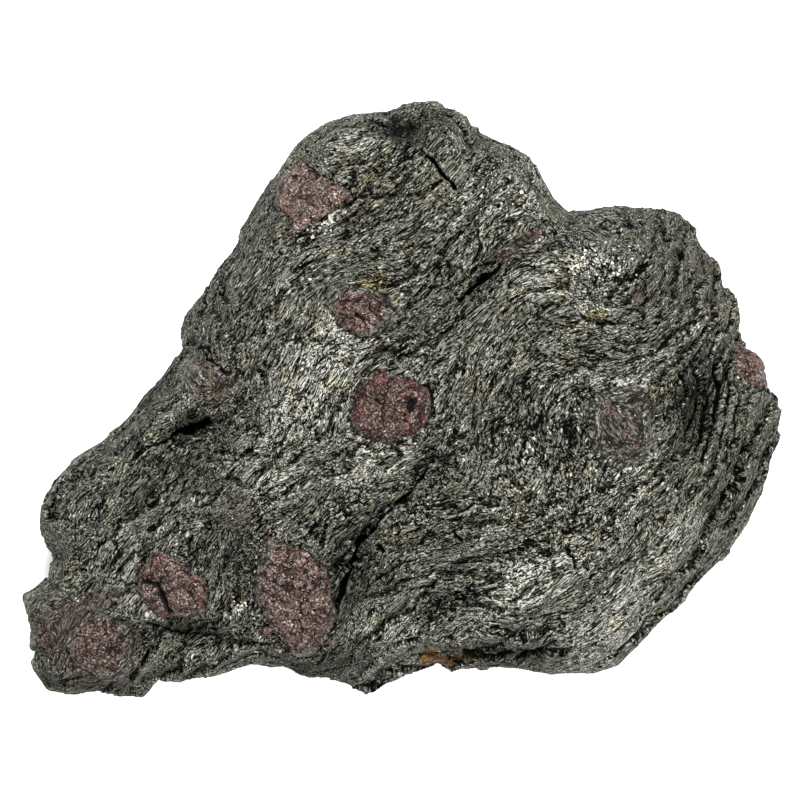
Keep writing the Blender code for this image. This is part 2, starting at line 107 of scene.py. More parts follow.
def seen(points):
    """Where points in metres are seen from above, in millimetres on the plane of the waist."""
    stretch = distance / (distance + WAIST - points[:, 2])
    return points[:, :2] * stretch[:, None] / MM


print(f"the camera is {distance:.3f} m above the waist of the lump")

# %% [markdown]
# ## Light and floor
#
# Schist is read by its relief. A studio lights it from nearly all round, so that no side is lost, with one
# panel a little stronger and lower, which leaves small shadows behind each layer.

# %% Panels, sky and a pale floor
# Name, azimuth anticlockwise from +X, elevation, size in metres and watts.
PANELS = (
    ("upper_panel", 85, 48, 0.30, 14), ("left_panel", 190, 42, 0.40, 6),
    ("right_panel", -15, 42, 0.40, 8), ("lower_panel", -95, 45, 0.40, 5),
)
PANEL_REACH = 0.9  # metres from the specimen
SKY_STRENGTH = 0.35
FLOOR = 1.5  # metres from the specimen to the floor's edges

bpy.context.scene.view_settings.view_transform = "Standard"
bpy.context.scene.view_settings.look = "None"

for name, azimuth, elevation, size, watts in PANELS:
    light = bpy.data.lights.new(name, "AREA")
    light.size = size
    light.energy = watts
    a, e = math.radians(azimuth), math.radians(elevation)
    lamp = linked(name, light)
    lamp.location = Vector((math.cos(a) * math.cos(e), math.sin(a) * math.cos(e), math.sin(e))) * PANEL_REACH
    lamp.rotation_euler = (-lamp.location).to_track_quat("-Z", "Y").to_euler()

world = bpy.data.worlds.new("pale_sky")
world.use_nodes = True
world.node_tree.nodes["Background"].inputs["Color"].default_value = (1, 1, 1, 1)
world.node_tree.nodes["Background"].inputs["Strength"].default_value = SKY_STRENGTH
bpy.context.scene.world = world

floor_mesh = bpy.data.meshes.new("floor")
corners = [(-FLOOR, -FLOOR, 0), (FLOOR, -FLOOR, 0), (FLOOR, FLOOR, 0), (-FLOOR, FLOOR, 0)]
floor_mesh.from_pydata(corners, [], [(0, 1, 2, 3)])
floor = linked("floor", floor_mesh)
floor_finish = bpy.data.materials.new("pale_floor")
floor_finish.use_nodes = True
floor_shader = floor_finish.node_tree.nodes["Principled BSDF"]
floor_shader.inputs["Base Color"].default_value = (0.93, 0.93, 0.93, 1)
floor_shader.inputs["Roughness"].default_value = 0.9
floor_mesh.materials.append(floor_finish)
print(f"{len(PANELS)} panels round a floor {2 * FLOOR:.0f} m wide")

# %% [markdown]
# ## Writing node trees as sums
#
# A texture on a rock is mostly arithmetic: this pattern times that one, less the hollows. So one small class
# wraps a socket and lets Python's own operators add the Math nodes, and one method adds any other node. Both
# serve materials and Geometry Nodes alike.

# %% A tree, and a socket that takes part in arithmetic
class Tree:
    """A node tree that nodes are added to."""

    def __init__(self, nodes):
        self.nodes = nodes

    def add(self, kind, settings, sockets, output=0):
        """Adds a node: first its settings, then a value or a link for each socket. Gives one output."""
        node = self.nodes.nodes.new(kind)
        for key, value in settings.items():
            setattr(node, key, value)
        for key, value in sockets.items():
            if isinstance(value, Socket):
                self.nodes.links.new(value.socket, node.inputs[key])
            else:
                node.inputs[key].default_value = value
        return Socket(self, node.outputs[output])


class Socket:
    """One output of a node. Arithmetic on it adds Math nodes to its tree."""

    def __init__(self, tree, socket):
        self.tree = tree
        self.socket = socket

    def math(self, operation, *others):
        return self.tree.add("ShaderNodeMath", {"operation": operation}, dict(enumerate((self, *others))))

    def __add__(self, other):
        return self.math("ADD", other)

    def __sub__(self, other):
        return self.math("SUBTRACT", other)

    def __mul__(self, other):
        return self.math("MULTIPLY", other)

    def __truediv__(self, other):
        return self.math("DIVIDE", other)

    def __rsub__(self, other):
        return self * -1.0 + other

    def __rtruediv__(self, other):
        return self.math("POWER", -1.0) * other

    __radd__ = __add__
    __rmul__ = __mul__

    def between(self, low, high):
        """0 at low, 1 at high, smooth and flat past both."""
        limits = {"Value": self, "From Min": low, "From Max": high}
        return self.tree.add("ShaderNodeMapRange", {"interpolation_type": "SMOOTHSTEP"}, limits, "Result")

    def vector(self, operation, other):
        output = "Value" if operation == "DOT_PRODUCT" else "Vector"
        return self.tree.add("ShaderNodeVectorMath", {"operation": operation}, {0: self, 1: other}, output)

    def stretched(self, *scale):
        """A vector with each part scaled. One number scales all three."""
        return self.vector("MULTIPLY", scale if len(scale) == 3 else scale * 3)

    def over(self, size):
        """A vector in units of a size, which has a length for each axis."""
        return self.stretched(*(1 / length for length in size))

    def scaled(self, amount):
        """A vector times a number that is itself a socket."""
        return self.tree.add("ShaderNodeVectorMath", {"operation": "SCALE"}, {0: self, "Scale": amount})

    def part(self, axis):
        return self.tree.add("ShaderNodeSeparateXYZ", {}, {0: self}, axis)

    def twin(self, output):
        """Another output of the same node."""
        return Socket(self.tree, self.socket.node.outputs[output])


# %% [markdown]
# Five patterns are enough for all of it: smooth noise, the same noise as a vector for bending coordinates,
# cells that each have a random number, saw teeth for layers that overlap, and thin lines where noise is zero.

# %% Patterns that both kinds of tree use
def clouds(coords, detail=2.0, roughness=0.5):
    """Smooth noise about 0, whose blobs are about one unit of coords across."""
    sockets = {"Vector": coords, "Scale": 1.0, "Detail": detail, "Roughness": roughness}
    return coords.tree.add("ShaderNodeTexNoise", {}, sockets, "Fac") - 0.5


def bent(coords, size, amount, detail=2.0):
    """coords moved about by noise. size is how wide its blobs are and amount how far it moves, per axis."""
    sockets = {"Vector": coords.over(size), "Scale": 1.0, "Detail": detail}
    shift = coords.tree.add("ShaderNodeTexNoise", {}, sockets, "Color").vector("SUBTRACT", (0.5,) * 3)
    return coords.vector("ADD", shift.stretched(*amount))


def cells(coords):
    """Cells about one unit across. Gives each cell's random vector. Its twins are Distance and Position."""
    return coords.tree.add("ShaderNodeTexVoronoi", {}, {"Vector": coords, "Scale": 1.0}, "Color")


def splits(layers, thickness, length, ragged):
    """0 at the foot of each thin layer, rising to 1 at its edge, then 0 again at the next layer's foot."""
    shift = clouds(layers.stretched(1 / length, 0.3 / thickness, 0.3 / thickness), 3.0, 0.65)
    return (layers.part(1) / thickness + shift * ragged).math("FRACT")


def lines(coords, width, detail=2.0):
    """1 along thin wandering lines, 0 between them."""
    return 1.0 - clouds(coords, detail).math("ABSOLUTE").between(0.0, width)


def mixed(amount, first, second):
    """A colour: first where amount is 0, second where it is 1."""
    sockets = {0: amount, 6: first, 7: second}
    return amount.tree.add("ShaderNodeMix", {"data_type": "RGBA"}, sockets, 2)


def ramp(value, stops):
    """A colour looked up in a row of stops, each a place from 0 to 1 and a colour."""
    colour = value.tree.add("ShaderNodeValToRGB", {}, {"Fac": value})
    elements = colour.socket.node.color_ramp.elements
    for place, _ in stops[1:-1]:
        elements.new(place)
    for element, (place, tone) in zip(elements, stops):
        element.position = place
        element.color = (*tone, 1)
    return colour


# %% [markdown]
# ## The grain of the rock
#
# Everything on schist follows its layers, and the layers swing round the crystals. The strike, the direction
# that the layers' edges run in, is read at places over the face. Two smooth height maps are then fitted so
# that one grows along the strike and the other across it. They are coordinates that bend with the rock: a
# pattern stretched along the first and squeezed along the second looks like real foliation.

# %% Strike readings, and two coordinates fitted to them
# Place as seen, then the strike in degrees anticlockwise from +X.
STRIKES = (
    (-4, 37, 50), (6, 37, 45), (0, 33, 55), (16, 30, 35), (-17, 27, 55), (2, 27, 35), (14, 26, 35),
    (-17, 24, 65), (-4, 24, 30), (22, 23, -5), (32, 23, 20), (-20, 20, 55), (-7, 20, 22), (6, 20, 35),
    (14, 20, 38), (22, 20, -15), (33, 20, 40), (-17, 17, 50), (-8, 17, 25), (36, 18, 70), (-24, 14, 50),
    (-12, 14, 45), (6, 14, 42), (19, 14, 5), (29, 14, 5), (42, 14, 75), (-23, 9, 58), (-11, 10, 58),
    (0, 6, -30), (10, 9, 35), (19, 9, -12), (28, 9, 12), (38, 10, 55), (-17, 6, 45), (-7, 6, 30),
    (12, 6, 40), (22, 5, -20), (32, 4, 20), (42, 5, 72), (-21, 3, 50), (-7, 2, 40), (9, 1, 38),
    (27, 3, -8), (-31, 0, 38), (-17, -1, 45), (-5, -5, 60), (6, -4, 45), (16, 0, 30), (31, 0, 5),
    (38, 1, 60), (-35, -4, 40), (-14, -4, 62), (22, -4, 75), (45, -3, 80), (-31, -8, 38), (-11, -7, 32),
    (9, -7, 40), (29, -7, 62), (41, -7, 76), (-39, -10, 45), (-24, -10, 50), (-11, -10, 32), (2, -11, 42),
    (31, -10, 42), (39, -11, 75), (-36, -14, 56), (-22, -14, 45), (-5, -14, 45), (17, -13, 32),
    (26, -14, 55), (33, -14, 52), (43, -13, 68), (-43, -17, 55), (-30, -17, 52), (-4, -17, 48),
    (12, -17, 12), (27, -17, 56), (38, -17, 66), (-38, -21, 52), (-7, -20, 22), (16, -20, 26),
    (30, -21, 50), (40, -20, 60), (-36, -24, 48), (-4, -24, 58), (34, -24, 48), (-6, -27, 56),
    (3, -27, 26), (17, -27, 36), (26, -28, 46), (20, -30, 40), (-33, -33, 52), (-26, -33, 32),
    (13, -33, 12), (26, -34, 46),
)
FLOW_REACH = 11.0  # radius of a bump
FLOW_STEP = 9.0  # from one bump to the next
FLOW_EDGE = (54, 45)  # how far the bumps go, along X and along Y
FLOW_CALM = 0.35  # how strongly the fit prefers gentle bends
BATCH = 20_000  # points worked out at a time, so that the arrays stay small
DIP = math.radians(16)  # how steeply the layers go down into the rock


class Flow:
    """The along and across coordinates of the face, as sums of soft bumps fitted to the strikes."""

    def __init__(self, strikes):
        table = np.array(strikes, float)
        spots, angle = table[:, :2], np.radians(table[:, 2])
        columns, rows = (np.arange(-edge, edge + 1, FLOW_STEP) for edge in FLOW_EDGE)
        self.centres = np.array([(x, y) for x in columns for y in rows])
        along = np.stack([np.cos(angle), np.sin(angle)], axis=1)
        across = np.stack([-np.sin(angle), np.cos(angle)], axis=1)
        slopes = self.slopes(spots)
        run = np.einsum("ijk,ik->ij", slopes, along)
        cross = np.einsum("ijk,ik->ij", slopes, across)
        calm = FLOW_CALM * np.eye(run.shape[1])
        calm[-2:] = 0
        system = np.vstack([run, cross, calm])
        flat, steep, still = np.zeros(len(spots)), np.ones(len(spots)), np.zeros(len(calm))
        self.across = np.linalg.lstsq(system, np.concatenate([flat, steep, still]), rcond=None)[0]
        self.along = np.linalg.lstsq(system, np.concatenate([steep, flat, still]), rcond=None)[0]

    def bumps(self, points):
        """The way from each bump's middle to each point, and the bump's height there."""
        gap = points[:, None, :] - self.centres[None, :, :]
        return gap, np.exp(-(gap ** 2).sum(axis=2) / (2 * FLOW_REACH ** 2))

    def slopes(self, points):
        """How each bump, and then X and Y themselves, rise at each point."""
        gap, bump = self.bumps(points)
        flat = np.broadcast_to(np.eye(2), (len(points), 2, 2))
        return np.concatenate([-gap / FLOW_REACH * bump[:, :, None], flat], axis=1)

    def coordinates(self, points):
        """(along, across) at each point, in millimetres."""
        weights = np.stack([self.along, self.across], axis=1)
        parts = np.array_split(points, max(1, len(points) // BATCH))
        return np.concatenate([np.hstack([self.bumps(p)[1] * FLOW_REACH, p]) @ weights for p in parts])


flow = Flow(STRIKES)
readings = np.array(STRIKES, float)
slope = np.einsum("ijk,j->ik", flow.slopes(readings[:, :2]), flow.across)
fitted = np.degrees(np.arctan2(-slope[:, 0], slope[:, 1]))
error = np.abs((fitted - readings[:, 2] + 90) % 180 - 90)
print(f"the fitted grain is within {np.median(error):.0f} degrees of half the readings")

# %% [markdown]
# The layers also part round each crystal like water round a stone. The flow past a round post has a simple
# formula, and it is added to the across coordinate near every crystal. The third coordinate goes down the
# dip, so that the same patterns also work on the sides and the back.

# %% Layers that part round the crystals
WRAP = 0.45  # 1 would be the full flow past a round post
WRAP_CORE = 0.35  # keeps the formula finite inside a crystal


def crystal_spots():
    """Middle as seen and mean radius of each crystal, in millimetres."""
    spots = []
    for node in sorted(frame["nodes"]):
        if node != "matrix":
            low, high = (np.array(corner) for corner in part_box(node))
            top = np.array([*(low + high)[:2] / 2, high[2]])
            spots.append((*seen(top[None, :])[0], (high - low)[:2].sum() / 4 / MM))
    return spots


CRYSTALS = crystal_spots()
print(len(CRYSTALS), "crystals part the layers")


def grain_of(points):
    """Each point's place in the layered rock: along, across the layers, and down the dip."""
    along, across = flow.coordinates(seen(points)).T
    wrapped = across.copy()
    for x, y, radius in CRYSTALS:
        here = flow.coordinates(np.array([[x, y]]))[0]
        u, v = along - here[0], across - here[1]
        wrapped -= WRAP * v * radius ** 2 / (u ** 2 + v ** 2 + WRAP_CORE * radius ** 2)
    height = points[:, 2] / MM
    layer = wrapped * math.cos(DIP) + height * math.sin(DIP)
    down = -wrapped * math.sin(DIP) + height * math.cos(DIP)
    return np.stack([along, layer, down], axis=1)


def run_of(points, facing):
    """The direction in which a layer's edge runs over the surface at each point."""
    here = grain_of(points)[:, 1]
    step = 0.3 * MM
    steep = np.stack([grain_of(points + step * axis)[:, 1] - here for axis in np.eye(3)], axis=1)
    run = np.cross(steep, facing)
    return run / np.maximum(np.linalg.norm(run, axis=1), 1e-9)[:, None]


# %% [markdown]
# ## The fine surface of the lump
#
# The imported lump has facets about two millimetres wide. A copy of it is remeshed in small voxels, eased so
# that the facets don't show, and then worked in two passes: from listed marks, for the slits and pits that
# this specimen has, and by rule, for the broken layers that cover all of it.

# %% Helpers for meshes as arrays
WELD = 1e-4 * MM  # vertices this close are one


def merged_copy(node, name):
    """A welded copy of a node of the frame, as a new object at the origin."""
    mesh = frame["nodes"][node].data.copy()
    mesh.name = name
    mesh.materials.clear()
    build = bmesh.new()
    build.from_mesh(mesh)
    bmesh.ops.remove_doubles(build, verts=build.verts, dist=WELD)
    build.to_mesh(mesh)
    build.free()
    return linked(name, mesh)


def bake_modifiers(obj):
    """The object's mesh as its modifiers leave it, with the modifiers gone."""
    graph = bpy.context.evaluated_depsgraph_get()
    shown = obj.evaluated_get(graph)
    mesh = bpy.data.meshes.new_from_object(shown, preserve_all_data_layers=True, depsgraph=graph)
    old = obj.data
    obj.modifiers.clear()
    obj.data = mesh
    mesh.name = obj.name
    bpy.data.meshes.remove(old)
    return obj


def remeshed(obj, voxel):
    """The object's mesh built again from cubes of that many millimetres."""
    remesh = obj.modifiers.new("voxels", "REMESH")
    remesh.mode = "VOXEL"
    remesh.voxel_size = voxel * MM
    return bake_modifiers(obj)


def triangle_count(obj):
    return sum(len(p.vertices) - 2 for p in obj.data.polygons)


def read(items, key, width):
    """One row of numbers for each item of a mesh."""
    out = np.empty(len(items) * width, np.float32)
    items.foreach_get(key, out)
    return out.reshape(-1, width)


def places(mesh):
    return read(mesh.vertices, "co", 3).astype(float)


def normals(mesh):
    return read(mesh.vertex_normals, "vector", 3).astype(float)


def move(mesh, points):
    mesh.vertices.foreach_set("co", points.astype(np.float32).ravel())
    mesh.update()


def store(mesh, name, values):
    """Keeps one number or one vector for each vertex under a name that node trees can read."""
    kind, key = ("FLOAT", "value") if values.ndim == 1 else ("FLOAT_VECTOR", "vector")
    attribute = mesh.attributes.get(name) or mesh.attributes.new(name, kind, "POINT")
    attribute.data.foreach_set(key, values.astype(np.float32).ravel())


def stored(mesh, name):
    """The numbers kept under a name, one for each vertex."""
    return read(mesh.attributes[name].data, "value", 1)[:, 0]


class Neighbours:
    """Smooths values over a mesh's edges."""

    def __init__(self, mesh):
        ends = np.empty(len(mesh.edges) * 2, np.int32)
        mesh.edges.foreach_get("vertices", ends)
        self.first, self.second = ends.reshape(-1, 2).T
        self.size = len(mesh.vertices)
        count = np.bincount(self.first, minlength=self.size) + np.bincount(self.second, minlength=self.size)
        self.count = np.maximum(count, 1)

    def smoothed(self, values, rounds):
        values = values.reshape(self.size, -1).copy()
        for _ in range(rounds):
            for k in range(values.shape[1]):
                column = values[:, k]
                total = np.bincount(self.first, column[self.second], self.size)
                total += np.bincount(self.second, column[self.first], self.size)
                values[:, k] = 0.5 * column + 0.5 * total / self.count
        return values.squeeze()


# %% Remesh the lump and ease its facets
VOXEL = 0.28  # mm
EASING = 14  # rounds of smoothing

packed = merged_copy("matrix", "matrix_surface")
packed_faces = [tuple(face.vertices) for face in packed.data.polygons]
packed_skin = BVHTree.FromPolygons(places(packed.data).tolist(), packed_faces)
lump = remeshed(packed, VOXEL)
around = Neighbours(lump.data)
sharp = places(lump.data)
eased = around.smoothed(sharp, EASING)
move(lump.data, eased + around.smoothed(sharp - eased, EASING))
print(f"the remeshed lump has {len(lump.data.vertices)} points")

# %% [markdown]
# The listed marks are slits, each a line of points with a width and a depth, and pits, each a soft
# oval. A mark only works on the side of the rock that faces up, and a slit wanders, as breaks in layers do.

# %% Slits and pits of this specimen
# Half width, depth, then the line, as seen.
SLITS = (
    (0.25, 1.2, ((3.4, 32.0), (4.6, 31.1), (5.5, 29.8), (7.4, 28.0))),
    (0.13, 0.5, ((2.2, 30.4), (3.4, 31.2))),
    (0.13, 0.5, ((4.4, 28.3), (5.8, 29.1))),
    (0.16, 0.6, ((1.5, 22.7), (2.7, 24.4), (3.9, 25.4))),
    (0.14, 0.5, ((-4.0, 22.6), (-2.5, 23.5))),
    (0.13, 0.5, ((-5.0, 18.0), (-2.3, 19.2))),
    (0.26, 1.3, ((7.6, 13.2), (9.6, 15.0), (11.9, 16.6), (13.0, 17.6))),
    (0.14, 0.6, ((6.6, 14.8), (8.5, 15.9), (10.4, 17.4))),
    (0.18, 0.8, ((9.8, 17.0), (12.2, 18.1))),
    (0.43, 1.4, ((-29.3, -4.3), (-27.4, -3.8), (-25.4, -2.7))),
    (0.25, 0.8, ((-32.0, -6.0), (-30.0, -5.0), (-28.6, -4.2))),
    (0.18, 0.8, ((-32.5, -17.3), (-31.5, -15.8), (-29.4, -13.4))),
    (0.29, 0.7, ((-32.8, -14.1), (-31.8, -13.2))),
    (0.18, 0.7, ((-37.5, -22.9), (-35.0, -20.0))),
    (0.22, 0.5, ((-33.6, -29.4), (-30.5, -30.2), (-27.0, -30.6), (-23.8, -30.9))),
    (0.25, 1.0, ((-33.0, -33.0), (-33.8, -34.8), (-35.1, -36.6))),
    (0.40, 1.4, ((-9.0, -29.8), (-7.6, -25.0), (-6.2, -20.6), (-4.6, -18.3))),
    (0.25, 1.0, ((-4.6, -18.3), (-3.0, -16.4), (-0.8, -14.0), (1.5, -12.0), (4.0, -9.0))),
    (0.18, 0.7, ((7.0, -16.8), (7.6, -17.8), (8.2, -18.7))),
    (0.16, 0.5, ((-1.5, -25.5), (1.5, -24.8), (5.0, -24.3))),
    (0.18, 0.7, ((21.9, -19.6), (22.7, -21.0), (23.3, -22.4))),
    (0.18, 0.9, ((36.6, 3.6), (37.4, 1.0), (36.8, -2.0), (36.0, -4.6))),
    (0.24, 1.2, ((38.4, 5.4), (39.2, 1.8), (38.6, -2.0), (37.6, -5.6))),
    (0.18, 0.9, ((39.9, 3.4), (40.4, 0.2), (39.8, -3.6), (38.8, -7.0))),
    (0.22, 1.1, ((41.6, 5.5), (42.0, 1.5), (41.2, -3.0), (39.6, -8.0))),
    (0.15, 0.7, ((43.2, 2.5), (43.0, -2.0), (42.2, -6.5))),
    (0.16, 0.8, ((44.6, 0.5), (44.2, -4.0), (42.8, -9.5))),
    (0.14, 0.6, ((46.0, -2.0), (45.2, -7.0), (43.6, -12.0))),
    (0.45, 1.5, ((8.6, -33.2), (12.0, -33.7), (14.5, -33.2))),
    (0.35, 1.3, ((15.5, -33.9), (18.0, -33.4), (20.4, -32.0))),
    (0.18, 0.6, ((28.3, 7.8), (30.2, 7.3), (34.0, 8.0))),
    (0.16, 0.5, ((29.8, 12.0), (31.4, 11.7), (33.2, 12.2))),
    (0.29, 1.0, ((-33.4, -21.0), (-34.2, -22.6), (-34.5, -24.4))),
    (0.25, 0.8, ((-6.4, -1.2), (-5.6, 1.4), (-4.2, 3.4))),
    (0.25, 0.8, ((4.3, 0.8), (4.3, -1.4), (3.6, -3.4))),
)
# Half length, half width, turn in degrees, depth, then the place.
PITS = (
    (3.0, 1.5, 5, 1.2, (0.8, 36.0)), (2.6, 1.3, 20, 0.9, (-24.0, 1.6)), (2.2, 1.0, 75, 0.7, (-8.6, 29.6)),
    (1.2, 0.8, 30, 0.6, (18.9, -8.2)), (1.4, 0.7, 50, 0.6, (-20.5, -7.2)), (1.5, 0.8, 0, 0.8, (-18.0, -33.0)),
)
NOISE_SLICE = 3.7  # any number: the height at which a flat pattern is cut from solid noise
SLIT_BENDS = ((2.6, 0.35), (0.8, 0.28))  # how wide the bends of a slit are, and how far they go
FACES_UP = (0.05, 0.45)  # a mark fades out where the surface's upward part is between these
FLANK = (-0.1, 0.5)  # and the broad relief lessens between these
FLANK_RELIEF = 0.35  # what the flanks keep of it
LIP_CRYSTALS = ("garnet_back_a", "garnet_back_b")
LIP_REACH = (1.2, 1.7)  # a thin lip ends between these, in half widths of its crystal


def ramped(values, low, high):
    """0 at low and 1 at high, smooth and flat past both."""
    share = np.clip((values - low) / (high - low), 0, 1)
    return share * share * (3 - 2 * share)


def line_distance(points, line):
    """How far each point is from a line of points."""
    best = np.full(len(points), 1e9)
    for start, end in zip(line, line[1:]):
        start, run = np.array(start), np.subtract(end, start)
        share = np.clip(((points - start) @ run) / (run @ run), 0, 1)
        best = np.minimum(best, np.linalg.norm(points - start - share[:, None] * run, axis=1))
    return best


def spot_share(points, x, y, length, width, turn):
    """1 at the middle of a soft oval spot, falling to 0 round it."""
    c, s = math.cos(math.radians(turn)), math.sin(math.radians(turn))
    offset = points - (x, y)
    return np.exp(-((offset @ (c, s)) / length) ** 2 - ((offset @ (-s, c)) / width) ** 2)


def wandering(points, size, amount):
    """Points moved about a little, the same way each time."""
    shift = np.array([noise.noise_vector(Vector((x / size, y / size, NOISE_SLICE)))[:2] for x, y in points])
    return points + amount * shift


def slit_depth(points, slits, upward):
    """How deep the slits cut at each point, in millimetres."""
    wavy = seen(points)
    for size, amount in SLIT_BENDS:
        wavy = wandering(wavy, size, amount)
    depths = [depth * np.exp(-(line_distance(wavy, line) / half) ** 2) for half, depth, line in slits]
    return np.max(depths, axis=0) * ramped(upward, *FACES_UP)


def half_widths(points, node):
    """The way from a crystal's middle to each point, in half widths of the crystal along each axis."""
    low, high = (np.array(corner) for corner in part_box(node))
    return (points - (low + high) / 2) / ((high - low) / 2)


def firmness(points):
    """1 on open rock, and 0 on the thin lips round the two crystals low in the flanks."""
    firm = np.ones(len(points))
    for node in LIP_CRYSTALS:
        firm *= ramped(np.linalg.norm(half_widths(points, node), axis=1), *LIP_REACH)
    return firm


points, facing = places(lump.data), normals(lump.data)
pit_depth = [depth * spot_share(seen(points), x, y, length, width, turn)
             for length, width, turn, depth, (x, y) in PITS]
carve = slit_depth(points, SLITS, facing[:, 2])
sunk = np.maximum(carve, np.max(pit_depth, axis=0) * ramped(facing[:, 2], *FACES_UP))
out = around.smoothed(facing, 6)
out /= np.linalg.norm(out, axis=1)[:, None]
marks = {"grain": grain_of(points), "run": run_of(points, facing), "out": out, "carve": carve,
         "free": FLANK_RELIEF + (1 - FLANK_RELIEF) * ramped(facing[:, 2], *FLANK)}
points -= out * (sunk * MM)[:, None]
move(lump.data, points)
marks["firm"] = firmness(points)
for name, values in marks.items():
    store(lump.data, name, values)
print(f"{len(SLITS)} slits and {len(PITS)} pits, the deepest {sunk.max():.1f} mm")

# %% [markdown]
# ## Broken layers by rule
#
# Schist breaks into long thin chips. Cells stretched along the grain and squeezed across it make them: each
# cell is one chip, set a little higher or lower than its neighbours and tilted, so that the chips overlap
# like shingles. Three sizes of chip in the bent coordinates, two of ledge, a slow swell, and fine noise with
# torn gaps in it, give the relief. It moves real vertices, so the outline is broken too.

# %% Geometry Nodes that raise the chips
def new_tree(name, inputs):
    """An empty Geometry Nodes tree with geometry in and out, and its other inputs by name."""
    nodes = bpy.data.node_groups.new(name, "GeometryNodeTree")
    nodes.interface.new_socket("Geometry", in_out="INPUT", socket_type="NodeSocketGeometry")
    for label, value in inputs.items():
        kind = {"Material": "NodeSocketMaterial", "Seed": "NodeSocketInt"}.get(label, "NodeSocketFloat")
        socket = nodes.interface.new_socket(label, in_out="INPUT", socket_type=kind)
        if value is not None:
            socket.default_value = value
    nodes.interface.new_socket("Geometry", in_out="OUTPUT", socket_type="NodeSocketGeometry")
    tree = Tree(nodes)
    start = nodes.nodes.new("NodeGroupInput")
    return tree, {s.name: Socket(tree, s) for s in start.outputs if s.name}


def finish_tree(tree, geometry, material):
    """Ends a tree in real meshes that carry the material."""
    real = tree.add("GeometryNodeRealizeInstances", {}, {"Geometry": geometry})
    dressed = tree.add("GeometryNodeSetMaterial", {}, {"Geometry": real, "Material": material})
    end = tree.nodes.nodes.new("NodeGroupOutput")
    tree.nodes.links.new(dressed.socket, end.inputs[0])


def named(tree, name, kind="FLOAT"):
    """What the mesh keeps under a name, for Geometry Nodes."""
    return tree.add("GeometryNodeInputNamedAttribute", {"data_type": kind}, {"Name": name}, "Attribute")


def grow_tree(obj, tree, values):
    """Runs a tree on an object, with its inputs set by identifier, and keeps the result as a plain mesh."""
    modifier = obj.modifiers.new(tree.nodes.name, "NODES")
    modifier.node_group = tree.nodes
    for item in tree.nodes.interface.items_tree:
        if item.in_out == "INPUT" and item.name in values:
            modifier[item.identifier] = values[item.name]
    return bake_modifiers(obj)


# Sizes are in millimetres: along the layers, across them, and down the dip.
LARGE_CHIP, MIDDLING_CHIP, SMALL_CHIP = (7.0, 2.6, 4.0), (3.6, 1.2, 2.0), (1.8, 0.5, 1.0)
PACKET_SHIFT = 30.0  # how far apart the fibres of two large chips start
PACKET_SWING = 0.40  # how unlike their directions are


def folded(grain):
    """The grain's coordinates bent twice, so that no layer runs straight for long."""
    wide = bent(grain, (9.0, 4.5, 6.0), (8.0, 2.2, 3.6), 2.0)
    return bent(wide, (3.2, 1.6, 1.6), (1.0, 0.16, 0.16), 1.0)


def packets(layers):
    """The layers' coordinates with the fibres of each large chip turned a little, and not joined up."""
    chance = cells(layers.over(LARGE_CHIP))
    local = layers.vector("SUBTRACT", chance.twin("Position").stretched(*LARGE_CHIP))
    swing = local.part(0) * (chance.part(2) - 0.5) * PACKET_SWING
    shift = layers.tree.add("ShaderNodeCombineXYZ", {}, {0: chance.part(1) * PACKET_SHIFT, 1: swing})
    return layers.vector("ADD", shift)


def chips(coords, size, step, tilt):
    """Height of chips of one size. step is how unlike their heights are and tilt how far they lean."""
    place = coords.over(size)
    chance = cells(place)
    local = place.vector("SUBTRACT", chance.twin("Position"))
    return (chance.part(0) - 0.5) * step + local.part(1) * tilt * (chance.part(1) + 0.3)


def thick_splits(layers):
    """Ledges about four millimetres apart."""
    return splits(layers, 4.2, 9.0, 3.4)


def thin_splits(layers):
    """Ledges a little over a millimetre apart."""
    return splits(layers, 1.4, 3.0, 3.0)


def broken_places(grain):
    """0 where the rock's surface is whole and 1 where it is broken into ledges."""
    return clouds(grain.stretched(0.09, 0.16, 0.12), 1.0).between(-0.12, 0.14)


def torn_lines(fibres):
    """1 along thin gaps that run with the fibres, here and there."""
    gaps = lines(fibres.stretched(0.10, 0.70, 0.4), 0.016, 2.0)
    return gaps * clouds(fibres.stretched(0.20, 0.30, 0.3), 1.0).between(0.04, 0.10)


def layered_relief(grain):
    """Height in millimetres of the broken layers. Each pattern's last number is its share of it."""
    layers = folded(grain)
    swell = clouds(grain.stretched(0.08, 0.22, 0.14))
    large = chips(layers, LARGE_CHIP, 0.50, 0.30) + thick_splits(layers) * 0.95 - 0.35
    middling = chips(layers, MIDDLING_CHIP, 0.12, 0.07) + thin_splits(layers) * 0.10 - 0.05
    small = chips(layers, SMALL_CHIP, 0.04, 0.03) + clouds(layers.stretched(0.8, 2.2, 1.8), 2.0) * 0.08
    broad = swell * 1.4 + large * (broken_places(grain) + 0.15)
    free = named(grain.tree, "free")
    ragged = clouds(grain.stretched(0.5, 1.0, 0.9), 3.0, 0.7) * (1.2 - free) * 0.7
    return broad * free + middling + small + ragged - torn_lines(packets(layers)) * 0.35 + 0.12


relief, given = new_tree("broken_layers", {"Strength": 1.0, "Material": None})
height = layered_relief(named(relief, "grain", "FLOAT_VECTOR"))
height = height * named(relief, "firm") * given["Strength"]
lift = named(relief, "out", "FLOAT_VECTOR").scaled(height * MM)
raised = relief.add("GeometryNodeSetPosition", {}, {"Geometry": given["Geometry"], "Offset": lift})
finish_tree(relief, raised, given["Material"])

# %% [markdown]
# ## The finish of the schist
#
# Dark chlorite, silvery mica and a little quartz lie in streaks finer than the mesh can hold, so the material
# draws them: streaks in the grain's coordinates, from one millimetre down to a tenth, painted shade in thin
# cracks, in the gaps between splinters and at the feet of ledges, and bright specks that are painted glints.
# Hollows get painted shade and raised edges a painted highlight. Where the rock is granular, the streaks give
# way to grains. Tones, whose dark spots are partly painted shade, and stains come from the lump's attributes,
# which a later cell stores.

# %% Schist material
def attribute(tree, name, output="Fac"):
    """What the mesh keeps under a name, for a material."""
    return tree.add("ShaderNodeAttribute", {"attribute_name": name}, {}, output)


